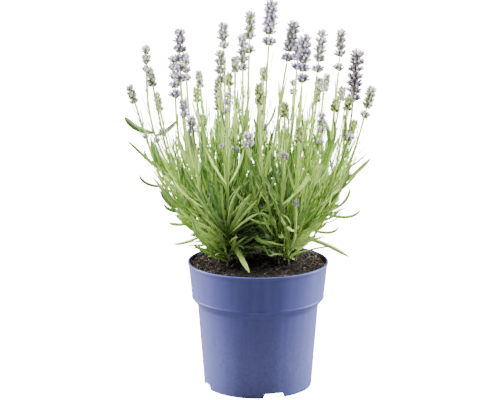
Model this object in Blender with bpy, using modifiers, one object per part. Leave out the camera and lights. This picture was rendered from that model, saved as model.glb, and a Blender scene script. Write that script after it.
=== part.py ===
"""Potted lavender: a tapered plastic nursery pot, its potting soil, fourteen leafy stems and their spikes.

Lengths in the tables are millimetres and MM turns them into Blender's metres. +Z is up, -Y is the side that
faces the viewer, and the origin is the middle of the pot's foot pad, on the surface that the pot stands on.
"""

import math
import random

import bmesh
import bpy
import numpy as np

MM = 0.001
COLLECTION = "potted_lavender"

# Pot
POT_HEIGHT = 118.0
RIM_RADIUS = 65.0
COLLAR_FOOT_RADIUS = 61.0
COLLAR_FOOT_HEIGHT = 84.0
BODY_TOP_RADIUS = 56.0
BODY_TOP_HEIGHT = 78.0
FOOT_RADIUS = 50.0
WALL = 1.3
SHARP_ANGLE = 25.0
LIP_BEAD = 0.8
LIP_HEIGHT = 2.2
FLOOR_RAISE = 5.0
FOOT_PAD_RADIUS = 20.0
FOOT_PAD_SLOPE = 3.0
POT_SIDES = 32
NOTCHES = 4
NOTCH_TURN = 17.0
NOTCH_WIDTH = 19.5
NOTCH_HEIGHT = 4.6
NOTCH_FLARE = 2.6
DRAIN_HOLES = 8
DRAIN_RADIUS = 3.5
DRAIN_CIRCLE = 35.0
DRILL_SIDES = 8

# Soil
SOIL_TOP = 116.0
SOIL_FALL = 1.2
SOIL_GAP = 0.35
SOIL_LUMP = 0.9
SOIL_SIDES = 28
HOLE_GAP = 0.35
HOLE_DEPTH = 22.0

# Stems
AXIS_RADIUS = 1.9
STALK_RADIUS = 0.95
STALK_TIP_RADIUS = 0.7
SPIKE_GAP = 0.3
AXIS_RISE = (12.0, 20.0, 27.0)
AXIS_LEAN = 0.30
STALK_POINTS = 6
STALK_SPREAD = 2.2
STALK_PULL = 0.44

# Leaves
LEAF_HALF_WIDTH = 2.2
LEAF_KEEL = 0.9
LEAF_FOLD = 0.2
LEAF_STATIONS = ((0.0, 0.26), (0.32, 0.85), (0.72, 1.0))
SHORT_LEAF = 40.0
SHORT_LEAF_STATIONS = ((0.0, 0.28), (0.5, 1.0))
LEAF_CLEARANCE = 0.5
LEAF_SEED = 7
CROWN_LEAVES = 2
PAIR_STEP = 40.0
FIRST_PAIR = 14.0
LEAFY_LENGTH = 86.0
BENDS = (0, 16, -16, 32, -32, 48, -48, 64, -64)
DEPTH_SHIFTS = (0, -4, 4, -8, 8, -13, 13, -18, 18)
MASS_RADIUS = 68.0
MASS_FLARE = 0.36

# Flower spikes: lobes round a whorl, whorl radius, spacing and height, and how deep its cup is, as a share
BUD = {"name": "bud", "lobes": 4, "radius": 2.9, "pitch": 4.8, "reach": 3.4, "cup": 0}
HALF = {"name": "half", "lobes": 5, "radius": 5.0, "pitch": 7.7, "reach": 5.2, "cup": 0.5}
BLOOM = {"name": "bloom", "lobes": 5, "radius": 7.2, "pitch": 8.0, "reach": 5.6, "cup": 0.4}
RACHIS_RADIUS = 0.9
CUP_RADIUS = 1.5
WHORL_VALLEY = 0.52

# Each leafy stem: its name, where it leaves the soil (x, y), and its flower stalks.
# Each stalk: the spike's top (x, y, z), the spike's length, how far the flowers have opened, and the spike's
# lean as a share of the stalk's.
LEAFY_STEMS = (
    ("left_front", (-27, -9), (
        (-67, -38, 276, 17, HALF, 0.3),
        (-60, -56, 264, 17, HALF, 0.4),
        (-27, -55, 286, 20, HALF, 0.2))),
    ("left_outer", (-35, -2), (
        (-116, -10, 282, 16, BUD, 0.6),
        (-97, -22, 299, 16, BUD, 0.5),
        (-70, -22, 336, 47, BLOOM, 0.1))),
    ("left_side", (-32, 8), (
        (-102, 15, 317, 25, HALF, 0.0),
        (-94, 32, 269, 17, BUD, 0.5),
        (-76, 0, 309, 38, BLOOM, 0.1))),
    ("left_back", (-23, 12), (
        (-67, 25, 308, 26, HALF, 0.2),
        (-55, 44, 287, 15, BUD, 0.5),
        (-52, 14, 252, 11, BUD, 0.5))),
    ("left_inner", (-18, -2), (
        (-34, -32, 318, 29, HALF, 0.2),
        (-21, -8, 308, 14, BUD, 0.2),
        (-7, -24, 351, 39, HALF, 0.6),
        (32, -30, 344, 39, BLOOM, 0.7))),
    ("back_left", (-24, 34), (
        (-58, 66, 268, 13, BUD, 0.2),
        (-38, 55, 279, 30, HALF, 0.3),
        (-27, 74, 281, 12, BUD, 0.2))),
    ("back_middle", (-13, 24), (
        (-32, 28, 335, 25, HALF, 0.2),
        (-14, 8, 327, 33, HALF, 0.3),
        (12, 14, 357, 42, BLOOM, 0.5),
        (3, 46, 280, 18, HALF, 0.2))),
    ("back_right", (13, 38), (
        (5, 76, 286, 13, BUD, 0.2),
        (34, 74, 276, 14, HALF, 0.3),
        (38, 46, 318, 28, BLOOM, 0.5))),
    ("back_outer", (24, 29), (
        (65, 64, 281, 16, BUD, 0.6),
        (57, 36, 282, 22, BUD, 0.6),
        (79, 44, 272, 12, BUD, 0.5))),
    ("right_front", (18, -6), (
        (0, -72, 293, 18, BUD, 0.2),
        (-9, -50, 247, 13, HALF, 0.2),
        (23, -68, 276, 13, BUD, 0.3))),
    ("right_low", (27, -9), (
        (36, -48, 251, 14, BUD, 0.2),
        (33, -76, 195, 10, HALF, 0.0),
        (56, -50, 266, 20, HALF, 0.2))),
    ("right_inner", (23, 7), (
        (43, 6, 327, 47, BLOOM, 0.7),
        (57, -20, 334, 41, HALF, 0.65))),
    ("right_outer", (34, 0), (
        (69, -30, 273, 11, BUD, 0.4),
        (80, -50, 278, 12, BUD, 0.5),
        (89, -12, 315, 46, BLOOM, 0.25))),
    ("right_side", (31, 12), (
        (76, 18, 330, 39, HALF, 0.3),
        (104, 8, 279, 29, HALF, 0.5),
        (90, 32, 243, 13, BUD, 0.7))),
)

# Leaves that are seen one by one: stem, stalk (or AXIS), distance up it, the bend and the tip (x, y, z), and
# half the blade's width
AXIS = -1
PLACED_LEAVES = (
    ("left_side", 0, 111, (-113, 12, 237), (-122, 8, 251), 2.3),
    ("left_side", 0, 109, (-86, 4, 236), (-73, -6, 251), 2.6),
    ("left_outer", 0, 97, (-107, -14, 223), (-118, -18, 234), 1.4),
    ("left_outer", 0, 79, (-104, -14, 190), (-108, -18, 203), 1.4),
    ("left_outer", 0, 55, (-83, -10, 172), (-88, -16, 191), 1.9),
    ("left_side", 1, 46, (-82, 8, 159), (-87, 4, 171), 1.8),
    ("left_outer", 0, 38, (-70, -12, 153), (-82, -16, 157), 1.4),
    ("left_side", 1, 24, (-58, 14, 140), (-64, 16, 138), 1.7),
    ("left_side", 1, 20, (-65, 6, 131), (-79, 2, 133), 1.4),
    ("left_outer", AXIS, 38, (-55, -14, 128), (-59, -20, 139), 1.5),
    ("left_outer", AXIS, 36, (-42, -24, 132), (-49, -30, 141), 2.0),
    ("left_side", 2, 79, (-63, 6, 221), (-68, 2, 237), 2.3),
    ("left_side", 0, 67, (-92, 6, 211), (-96, 4, 229), 2.8),
    ("left_front", AXIS, 46, (-18, -27, 137), (-8, -56, 121), 2.7),
    ("left_front", 2, 11, (-11, -26, 171), (1, -36, 184), 2.1),
    ("left_front", 2, 23, (-14, -34, 178), (-7, -46, 190), 2.8),
    ("left_front", 2, 43, (-22, -32, 191), (-6, -46, 206), 2.0),
    ("left_outer", 1, 3, (-52, -26, 149), (-61, -36, 169), 2.8),
    ("right_side", 2, 41, (88, 2, 153), (94, -6, 168), 1.5),
    ("right_outer", 0, 26, (70, -10, 142), (74, -14, 154), 1.4),
    ("right_outer", 0, 14, (58, -14, 142), (82, -16, 124), 2.2),
    ("right_outer", 1, 64, (75, -8, 184), (79, -12, 197), 1.6),
    ("right_side", 2, 44, (81, 8, 164), (85, 4, 185), 1.7),
    ("right_outer", 1, 29, (67, -14, 158), (75, -20, 172), 1.4),
    ("right_low", 1, 70, (23, -40, 158), (20, -46, 171), 1.4),
    ("right_front", 2, 17, (11, -34, 171), (0, -42, 172), 2.0),
    ("right_front", AXIS, 38, (16, -30, 129), (9, -34, 137), 1.4),
    ("right_front", 2, 6, (11, -24, 137), (-3, -30, 146), 2.0),
    ("right_outer", 0, 94, (54, -16, 225), (50, -20, 241), 2.0),
    ("right_side", 0, 86, (73, 20, 235), (69, 22, 248), 1.8),
    ("right_outer", 0, 102, (67, -10, 237), (59, -10, 254), 2.2),
    ("right_side", 2, 108, (82, 14, 238), (79, 14, 253), 1.4),
    ("back_middle", 2, 95, (14, 16, 247), (16, 16, 261), 1.4),
    ("back_outer", 1, 68, (43, 34, 229), (40, 34, 249), 1.7),
    ("left_inner", 1, 98, (-11, -14, 243), (-11, -14, 263), 1.8),
    ("back_middle", 3, 82, (0, 14, 233), (-1, 14, 254), 1.8),
    ("back_left", 0, 95, (-53, 62, 229), (-52, 64, 246), 1.8),
)


def unit(vector):
    return vector / np.linalg.norm(vector)


def soil_height(x, y):
    """The lumpy top of the soil."""
    wave = math.sin(0.19 * x + 1.3) * math.cos(0.23 * y - 0.4) + 0.6 * math.sin(0.41 * x - 0.33 * y)
    return SOIL_TOP + SOIL_LUMP * wave


def bezier(start, start_pull, end_pull, end, count):
    """Points along a cubic curve, both ends included."""
    t = np.linspace(0, 1, count)[:, None]
    return ((1 - t) ** 3 * start + 3 * t * (1 - t) ** 2 * start_pull
            + 3 * t ** 2 * (1 - t) * end_pull + t ** 3 * end)


def point_along(line, distance):
    """The point and direction at a distance along a line of points."""
    steps = np.linalg.norm(np.diff(line, axis=0), axis=1)
    for start, step, piece in zip(line, steps, np.diff(line, axis=0)):
        if distance <= step:
            return start + piece * distance / step, piece / step
        distance -= step
    return line[-1], unit(line[-1] - line[-2])


def line_length(line):
    return float(np.linalg.norm(np.diff(line, axis=0), axis=1).sum())


def plan_stem(name, hole, stalks):
    """The woody axis of one leafy stem and the centreline of each of its flower stalks."""
    root = np.array([hole[0], hole[1], SOIL_TOP - HOLE_DEPTH + HOLE_GAP], float)
    collar = np.array([hole[0], hole[1], SOIL_TOP + 2.0], float)
    tips = np.array([stalk[:3] for stalk in stalks], float)
    aim = unit(tips.mean(axis=0) - collar)
    crown = collar + np.array([aim[0], aim[1], 0]) * AXIS_RISE[-1] * AXIS_LEAN + [0, 0, AXIS_RISE[-1]]
    axis = np.array([root, collar, (collar + crown) / 2 - aim * [1.2, 1.2, 0], crown])
    order = sorted(range(len(stalks)), key=lambda index: stalks[index][2])
    centrelines, spikes = [None] * len(stalks), []
    for rank, index in enumerate(order):
        x, y, z, length, stage, lean = stalks[index]
        tip = np.array([x, y, z], float)
        rise = AXIS_RISE[min(rank, len(AXIS_RISE) - 1)]
        start, _ = point_along(axis, HOLE_DEPTH - HOLE_GAP + 2.0 + rise - 1.5)
        leaving = unit((tip - start) * [STALK_SPREAD, STALK_SPREAD, 1])
        end_direction = unit((tip - start) * [lean, lean, 1])
        foot = tip - end_direction * length
        pull = np.linalg.norm(foot - start) * STALK_PULL
        line = bezier(start, start + leaving * pull, foot - end_direction * pull,
                      foot - end_direction * SPIKE_GAP, STALK_POINTS)
        centrelines[index] = line
        spikes.append((index, foot, end_direction, length, stage))
    spikes.sort(key=lambda spike: spike[0])
    return {"name": name, "axis": axis, "stalks": centrelines, "spikes": spikes}


def leaf_line(line, distance, turn, length, first_angle, last_angle, droop, count=7):
    """A leaf's midrib and the way across its blade, for a leaf that leaves a stalk at a turn about it."""
    root, along = point_along(line, distance)
    side = unit(np.cross(along, [0.0, 1.0, 0.0]))
    front = np.cross(side, along)
    out = math.cos(math.radians(turn)) * side + math.sin(math.radians(turn)) * front
    points = [root]
    for step in range(1, count):
        share = step / (count - 1)
        angle = math.radians(first_angle + (last_angle - first_angle) * share)
        direction = math.cos(angle) * along + math.sin(angle) * out - np.array([0, 0, droop * share])
        points.append(points[-1] + unit(direction) * length / (count - 1))
    return np.array(points), unit(np.cross(along, out))


def placed_leaf_line(line, distance, bend, tip, shift):
    """The midrib of a leaf with a known bend and tip, both moved in depth by shift, and the way across it."""
    root, along = point_along(line, distance)
    bend = np.array([bend[0], bend[1] + shift * 0.6, bend[2]], float)
    tip = np.array([tip[0], tip[1] + shift, tip[2]], float)
    midrib = bezier(root, (root + 2 * bend) / 3, (tip + 2 * bend) / 3, tip, 7)
    return midrib, unit(np.cross(tip - root, [0.0, -0.8, 0.6]))


def leaf_half_width(share):
    """Half the blade's width at a share of its length, against the widest."""
    return max(0.15, math.sin(math.pi * min(1.0, 0.12 + 0.83 * share)) ** 0.6)


class Room:
    """What already stands round the pot, so that a new leaf can be bent clear of the other stems."""

    def __init__(self):
        self.points, self.radii, self.owners = [], [], []

    def add(self, points, radii, owner):
        self.points.extend(points)
        self.radii.extend(radii)
        self.owners.extend([owner] * len(points))

    def add_line(self, line, radius, owner, spacing=3.0):
        count = max(2, int(line_length(line) / spacing))
        samples = [point_along(line, line_length(line) * i / (count - 1))[0] for i in range(count)]
        self.add(samples, [radius] * count, owner)

    def clearance(self, points, radii, owner):
        """The least gap to anything of another owner."""
        others = np.array([o != owner for o in self.owners])
        there = np.array(self.points)[others]
        sizes = np.array(self.radii)[others]
        gaps = np.linalg.norm(points[:, None, :] - there[None, :, :], axis=2) - sizes[None, :]
        return float((gaps - np.asarray(radii)[:, None]).min())


def clear_of_pot(points):
    """Whether a leaf stays over the soil and the pot's rim, or outside the pot."""
    for x, y, z in points:
        radius = math.hypot(x, y)
        over_soil = radius < RIM_RADIUS - 5.0 and z > soil_height(x, y) + 3.0
        over_rim = z > POT_HEIGHT + 2.5
        if not (over_soil or over_rim or radius > RIM_RADIUS + 4.0):
            return False
    return True


def in_the_mass(point):
    """Whether a point is inside the bowl that the leaves fill together."""
    x, y, z = point
    return math.hypot(x, y) < MASS_RADIUS + MASS_FLARE * (z - POT_HEIGHT)


def leaf_samples(midrib, half_width):
    count = 13
    points = [point_along(midrib, line_length(midrib) * i / (count - 1))[0] for i in range(count)]
    radii = [half_width * leaf_half_width(i / (count - 1)) for i in range(count)]
    return np.array(points[1:]), radii[1:]


def stand_in_room(stems):
    """A Room that holds every stem's axis, stalks and spikes."""
    room = Room()
    for stem in stems:
        room.add_line(stem["axis"], AXIS_RADIUS, stem["name"])
        for line in stem["stalks"]:
            room.add_line(line, STALK_RADIUS, stem["name"])
        for index, foot, direction, length, stage in stem["spikes"]:
            spike = np.array([foot, foot + direction * length])
            room.add_line(spike, stage["radius"], f"{stem['name']}_{index}")
    return room


def wanted_leaves(stem, draw):
    """Low leaves round a stem's axis, then pairs up each stalk, each pair a quarter turn on from the last."""
    turn = draw.uniform(0, 360)
    for k in range(CROWN_LEAVES):
        rise = HOLE_DEPTH + 7.0 + 15.0 * k / CROWN_LEAVES
        yield (stem["axis"], rise, turn + 360 * k / CROWN_LEAVES + draw.uniform(-20, 20),
               draw.uniform(28, 40), draw.uniform(55, 70), draw.uniform(55, 85), draw.uniform(0.0, 0.3), 2.0)
    for line in stem["stalks"]:
        leafy = min(LEAFY_LENGTH, 0.62 * line_length(line))
        turn = draw.uniform(0, 180)
        distance = FIRST_PAIR + draw.uniform(0, 12)
        while distance < leafy:
            share = distance / LEAFY_LENGTH
            for opposite in (0, 180):
                yield (line, distance + draw.uniform(-1, 1), turn + opposite + draw.uniform(-15, 15),
                       draw.uniform(36, 50), 60 - 26 * share + draw.uniform(-8, 8),
                       26 - 16 * share + draw.uniform(-8, 8), draw.uniform(0.0, 0.25) * (1 - share),
                       LEAF_HALF_WIDTH)
            turn += 90
            distance += PAIR_STEP


def plan_leaves(stems):
    """Every leaf's midrib, across direction and half width, by stem, each leaf clear of the other stems."""
    draw = random.Random(LEAF_SEED)
    room = stand_in_room(stems)
    leaves = {stem["name"]: [] for stem in stems}

    def place(name, tries, half_width):
        for midrib, across in tries:
            points, radii = leaf_samples(midrib, half_width)
            if clear_of_pot(points) and room.clearance(points, radii, name) > LEAF_CLEARANCE:
                leaves[name].append((midrib, across, half_width))
                room.add(list(points), radii, name)
                return

    by_name = {stem["name"]: stem for stem in stems}
    for name, stalk, distance, bend, tip, half_width in PLACED_LEAVES:
        stem = by_name[name]
        line = stem["axis"] if stalk == AXIS else stem["stalks"][stalk]
        tries = [placed_leaf_line(line, distance, bend, tip, shift) for shift in DEPTH_SHIFTS]
        place(name, tries, half_width)
    for stem in stems:
        for line, distance, turn, length, first, last, droop, half_width in wanted_leaves(stem, draw):
            tries = [leaf_line(line, distance, turn + bend, length, first, last, droop) for bend in BENDS]
            place(stem["name"], [leaf for leaf in tries if in_the_mass(leaf[0][-1])], half_width)
    return leaves


def clear_scene():
    for old in list(bpy.data.objects):
        bpy.data.objects.remove(old)


def collection(name, hidden=False):
    made = bpy.data.collections.new(name)
    bpy.context.scene.collection.children.link(made)
    made.hide_render = hidden
    return made


def finish(name, red, green, blue, roughness):
    """A matt material in linear colour."""
    material = bpy.data.materials.new(name)
    material.use_nodes = True
    shader = material.node_tree.nodes["Principled BSDF"]
    shader.inputs["Base Color"].default_value = (red, green, blue, 1)
    shader.inputs["Roughness"].default_value = roughness
    shader.inputs["Metallic"].default_value = 0.0
    return material


def mesh_object(name, mesh, group, material=None):
    made = bpy.data.objects.new(name, mesh)
    if material:
        mesh.materials.clear()
        mesh.materials.append(material)
    group.objects.link(made)
    return made


def evaluated_mesh(obj):
    """A plain mesh of an object as its modifiers leave it. The object is removed."""
    bpy.context.view_layer.update()
    graph = bpy.context.evaluated_depsgraph_get()
    mesh = bpy.data.meshes.new_from_object(obj.evaluated_get(graph))
    mesh.transform(obj.matrix_world)
    bpy.data.objects.remove(obj)
    return mesh


def turned(name, profile, sides, group, material):
    """A solid turned about Z from a closed profile that starts and ends on the axis, shaded smooth."""
    mesh = bpy.data.meshes.new(name)
    corners = [(x * MM, 0, z * MM) for x, z in profile]
    mesh.from_pydata(corners, [(i, i + 1) for i in range(len(corners) - 1)], [])
    outline = mesh_object(name + "_outline", mesh, group)
    screw = outline.modifiers.new("turn", "SCREW")
    screw.axis = "Z"
    screw.steps = screw.render_steps = sides
    screw.use_merge_vertices = True
    screw.merge_threshold = 0.00001
    solid = evaluated_mesh(outline)
    solid.shade_smooth()
    solid.set_sharp_from_angle(angle=math.radians(SHARP_ANGLE))
    return mesh_object(name, solid, group, material)


def tube(name, line, radii, group):
    """A square-sectioned stem along a line of points, as one closed mesh."""
    curve = bpy.data.curves.new(name, "CURVE")
    curve.dimensions = "3D"
    curve.bevel_depth = MM
    curve.bevel_resolution = 0
    curve.use_fill_caps = True
    spline = curve.splines.new("POLY")
    spline.points.add(len(line) - 1)
    for point, (x, y, z), radius in zip(spline.points, line, radii):
        point.co = (x * MM, y * MM, z * MM, 1)
        point.radius = radius
    guide = bpy.data.objects.new(name + "_guide", curve)
    group.objects.link(guide)
    mesh = evaluated_mesh(guide)
    work = bmesh.new()
    work.from_mesh(mesh)
    bmesh.ops.remove_doubles(work, verts=work.verts, dist=0.000001)
    bmesh.ops.recalc_face_normals(work, faces=work.faces)
    work.to_mesh(mesh)
    work.free()
    return mesh_object(name, mesh, group)


def bridge(work, low, high):
    """Faces between two rings of the same count, or between one ring and another with twice its points."""
    if len(low) == len(high):
        for k in range(len(low)):
            after = (k + 1) % len(low)
            work.faces.new((low[k], low[after], high[after], high[k]))
        return
    few, many = sorted((low, high), key=len)
    for k in range(len(few)):
        after = few[(k + 1) % len(few)]
        tip, valley, next_tip = many[2 * k], many[2 * k + 1], many[(2 * k + 2) % len(many)]
        for corners in ((few[k], tip, valley), (few[k], valley, after), (after, valley, next_tip)):
            work.faces.new(corners)


def loft(name, rings, tip, group):
    """A closed solid through rings of points, the first capped flat and the last drawn to a tip."""
    work = bmesh.new()
    made = [[work.verts.new(point * MM) for point in ring] for ring in rings]
    work.faces.new(made[0])
    for low, high in zip(made, made[1:]):
        bridge(work, low, high)
    point = work.verts.new(tip * MM)
    for k, corner in enumerate(made[-1]):
        work.faces.new((corner, made[-1][(k + 1) % len(made[-1])], point))
    bmesh.ops.triangulate(work, faces=work.faces)
    bmesh.ops.recalc_face_normals(work, faces=work.faces)
    mesh = bpy.data.meshes.new(name)
    work.to_mesh(mesh)
    work.free()
    return mesh_object(name, mesh, group)


def joined(name, pieces, scratch, group, material):
    """One closed body made of overlapping pieces."""
    base, others = pieces[0], pieces[1:]
    operands = collection(name + "_operands", hidden=True)
    for other in others:
        scratch.objects.unlink(other)
        operands.objects.link(other)
    union = base.modifiers.new("join", "BOOLEAN")
    union.operation = "UNION"
    union.operand_type = "COLLECTION"
    union.collection = operands
    union.solver = "MANIFOLD"
    mesh = evaluated_mesh(base)
    for other in others:
        bpy.data.objects.remove(other)
    bpy.data.collections.remove(operands)
    return mesh_object(name, mesh, group, material)


def cut(obj, cutter):
    cutter.display_type = "WIRE"
    cutter.hide_render = True
    modifier = obj.modifiers.new(cutter.name, "BOOLEAN")
    modifier.operation = "DIFFERENCE"
    modifier.object = cutter
    modifier.solver = "EXACT"


def inner_radius(height):
    """The inside of the pot's tapered body."""
    return FOOT_RADIUS + (BODY_TOP_RADIUS - FOOT_RADIUS) * height / BODY_TOP_HEIGHT - WALL


def pot_profile():
    """The pot's section (radius, height): over the floor, up the inside, down the outside and in below."""
    floor_top = FLOOR_RAISE + WALL
    pad_edge = FOOT_PAD_RADIUS + FOOT_PAD_SLOPE
    inside = [(0, WALL), (FOOT_PAD_RADIUS - WALL / 2, WALL), (pad_edge - WALL / 2, floor_top),
              (inner_radius(floor_top), floor_top), (BODY_TOP_RADIUS - WALL, BODY_TOP_HEIGHT + WALL / 2),
              (COLLAR_FOOT_RADIUS - WALL, COLLAR_FOOT_HEIGHT + WALL / 2),
              (RIM_RADIUS - LIP_BEAD - WALL, POT_HEIGHT)]
    outside = [(RIM_RADIUS, POT_HEIGHT), (RIM_RADIUS, POT_HEIGHT - LIP_HEIGHT),
               (RIM_RADIUS - LIP_BEAD, POT_HEIGHT - LIP_HEIGHT - LIP_BEAD),
               (COLLAR_FOOT_RADIUS, COLLAR_FOOT_HEIGHT), (BODY_TOP_RADIUS, BODY_TOP_HEIGHT), (FOOT_RADIUS, 0)]
    under = [(FOOT_RADIUS - WALL, 0), (FOOT_RADIUS - WALL, FLOOR_RAISE), (pad_edge, FLOOR_RAISE),
             (FOOT_PAD_RADIUS, 0), (0, 0)]
    return inside + outside + under


def soil_profile():
    """The root ball's section: out over the top, down the pot's inside, in over its floor."""
    floor = FLOOR_RAISE + WALL + SOIL_GAP
    pad_edge = FOOT_PAD_RADIUS + FOOT_PAD_SLOPE - WALL
    edge = COLLAR_FOOT_RADIUS - WALL - SOIL_GAP
    rim_edge = RIM_RADIUS - LIP_BEAD - WALL - 2 * SOIL_GAP
    edge_height = SOIL_TOP - SOIL_FALL
    rise = (edge_height - COLLAR_FOOT_HEIGHT) / (POT_HEIGHT - COLLAR_FOOT_HEIGHT)
    top_edge = edge + (rim_edge - edge) * rise
    top = [(top_edge * share, SOIL_TOP) for share in (0, 0.25, 0.5, 0.75)] + [(top_edge, edge_height)]
    side = [(edge, COLLAR_FOOT_HEIGHT + 2), (BODY_TOP_RADIUS - WALL - SOIL_GAP, BODY_TOP_HEIGHT + 2),
            (inner_radius(floor) - SOIL_GAP, floor)]
    base = [(pad_edge - SOIL_GAP, floor), (FOOT_PAD_RADIUS - WALL - SOIL_GAP, WALL + SOIL_GAP),
            (0, WALL + SOIL_GAP)]
    return top + side + base


def notch_cutter(group):
    """Four flared blocks, each a slot through the foot."""
    work = bmesh.new()
    for k in range(NOTCHES):
        turn = math.radians(NOTCH_TURN - 90 + 360 * k / NOTCHES)
        block = bmesh.ops.create_cube(work, size=2)["verts"]
        for vert in block:
            radial = FOOT_RADIUS - 1 + 5 * vert.co.x
            half = NOTCH_WIDTH / 2 - NOTCH_FLARE / 2 * vert.co.z
            height = NOTCH_HEIGHT / 2 * (1 + vert.co.z) - (1 - vert.co.z)
            side = half * vert.co.y
            vert.co = (
                (radial * math.cos(turn) - side * math.sin(turn)) * MM,
                (radial * math.sin(turn) + side * math.cos(turn)) * MM,
                height * MM)
    mesh = bpy.data.meshes.new("notch_cutter")
    work.to_mesh(mesh)
    work.free()
    return mesh_object("notch_cutter", mesh, group)


def drill(name, places, radius, low, high, group):
    """Upright round cutters at places (x, y)."""
    work = bmesh.new()
    size = radius * MM
    for x, y in places:
        drilled = bmesh.ops.create_cone(work, cap_ends=True, segments=DRILL_SIDES, radius1=size, radius2=size,
                                        depth=(high - low) * MM)
        bmesh.ops.translate(work, verts=drilled["verts"], vec=(x * MM, y * MM, (low + high) / 2 * MM))
    mesh = bpy.data.meshes.new(name)
    work.to_mesh(mesh)
    work.free()
    return mesh_object(name, mesh, group)


def build_pot(group, cutters):
    plastic = finish("pot_plastic", 0.13, 0.15, 0.40, 0.38)
    pot = turned("pot", pot_profile(), POT_SIDES, group, plastic)
    cut(pot, notch_cutter(cutters))
    turns = [2 * math.pi * (k + 0.5) / DRAIN_HOLES for k in range(DRAIN_HOLES)]
    places = [(DRAIN_CIRCLE * math.cos(turn), DRAIN_CIRCLE * math.sin(turn)) for turn in turns]
    cut(pot, drill("drain_cutter", places, DRAIN_RADIUS, FLOOR_RAISE - 2, FLOOR_RAISE + WALL + 2, cutters))


def build_soil(group, cutters):
    peat = finish("potting_soil", 0.026, 0.014, 0.010, 0.95)
    soil = turned("soil", soil_profile(), SOIL_SIDES, group, peat)
    for vert in soil.data.vertices:
        if vert.co.z > (SOIL_TOP - SOIL_FALL / 2) * MM:
            vert.co.z = soil_height(vert.co.x / MM, vert.co.y / MM) * MM
    holes = [hole for _, hole, _ in LEAFY_STEMS]
    radius = AXIS_RADIUS + HOLE_GAP
    cut(soil, drill("stem_hole_cutter", holes, radius, SOIL_TOP - HOLE_DEPTH, SOIL_TOP + 8, cutters))


def leaf_solid(name, midrib, across, half_width, group):
    """One narrow blade, flat above and keeled below."""
    rings = []
    length = line_length(midrib)
    for share, size in SHORT_LEAF_STATIONS if length < SHORT_LEAF else LEAF_STATIONS:
        middle, direction = point_along(midrib, length * share)
        upper = np.cross(direction, across)
        half = across * half_width * size
        lift = upper * LEAF_FOLD * half_width * size
        keel = upper * LEAF_KEEL * max(size, 0.6)
        rings.append([middle + half + lift, middle - keel, middle - half + lift])
    return loft(name, rings, midrib[-1], group)


def build_stem(stem, leaves, green, group, scratch):
    axis = stem["axis"]
    radii = [AXIS_RADIUS * share for share in (1.0, 1.0, 0.9, 0.7)]
    pieces = [tube("axis", axis, radii, scratch)]
    for line in stem["stalks"]:
        radii = np.linspace(STALK_RADIUS, STALK_TIP_RADIUS, len(line))
        pieces.append(tube("stalk", line, radii, scratch))
    for midrib, across, half_width in leaves:
        pieces.append(leaf_solid("leaf", midrib, across, half_width, scratch))
    joined("stem_" + stem["name"], pieces, scratch, group, green)


def ring(middle, axes, radii, turn):
    """Points round a spike's axis, one for each radius, with its own height above the middle."""
    side, front, along = axes
    points = []
    for k, (radius, height) in enumerate(radii):
        angle = turn + 2 * math.pi * k / len(radii)
        points.append(middle + radius * (math.cos(angle) * side + math.sin(angle) * front) + height * along)
    return points


def spike_rings(foot, along, length, stage):
    """Rings up one spike: at each whorl a neck, a star of floret tips and, if open, the bottom of its cup."""
    side = unit(np.cross(along, [0.0, 1.0, 0.0]))
    axes = (side, np.cross(side, along), along)
    lobes, reach, cup = stage["lobes"], stage["reach"], stage["cup"]
    whorls = max(1, round((length - reach) / stage["pitch"]))
    rings = []
    for k in range(whorls + 1):
        share = k / whorls
        size = (0.86 + 0.14 * math.sin(math.pi * share)) * (1 - 0.42 * share ** 4)
        middle = foot + along * (length - reach) * (1 - (1 - share) ** 1.15)
        turn = math.pi / lobes * (k % 2)
        rings.append(ring(middle, axes, [(RACHIS_RADIUS, 0)] * lobes, turn))
        tip, valley = (stage["radius"] * size, reach), (stage["radius"] * size * WHORL_VALLEY, reach * 0.74)
        rings.append(ring(middle, axes, [tip, valley] * lobes, turn))
        if cup and k < whorls:
            rings.append(ring(middle, axes, [(CUP_RADIUS, reach * (1 - cup))] * lobes, turn))
    return rings, foot + along * length


def build_spikes(stem, colours, group):
    for index, foot, along, length, stage in stem["spikes"]:
        rings, top = spike_rings(foot, along, length, stage)
        spike = loft(f"spike_{stem['name']}_{index + 1}", rings, top, group)
        spike.data.materials.append(colours[stage["name"]])


def main():
    clear_scene()
    parts = collection(COLLECTION)
    cutters = collection("cutters", hidden=True)
    scratch = collection("scratch")
    stems = [plan_stem(*row) for row in LEAFY_STEMS]
    leaves = plan_leaves(stems)
    green = finish("stem_and_leaf", 0.19, 0.30, 0.08, 0.6)
    colours = {
        "bud": finish("flower_bud", 0.24, 0.26, 0.16, 0.75),
        "half": finish("flower_half_open", 0.30, 0.28, 0.36, 0.75),
        "bloom": finish("flower_open", 0.21, 0.17, 0.38, 0.7)}
    build_pot(parts, cutters)
    build_soil(parts, cutters)
    for stem in stems:
        build_stem(stem, leaves[stem["name"]], green, parts, scratch)
        build_spikes(stem, colours, parts)
    bpy.data.collections.remove(scratch)


main()
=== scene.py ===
# %% [markdown]
# # A lavender in its nursery pot
# The real object is a young lavender, sold in the thin plastic pot that it was rooted in. Its solids come
# packed, with every stem, spike and the pot at their real size. This lesson dresses them: a turned and
# notched pot, crumbly peat, blades swept along their midribs, and flower spikes built of single florets,
# each where its solid stands.

import math
import random

import bmesh
import bpy
import numpy as np
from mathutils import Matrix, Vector, noise


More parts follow.
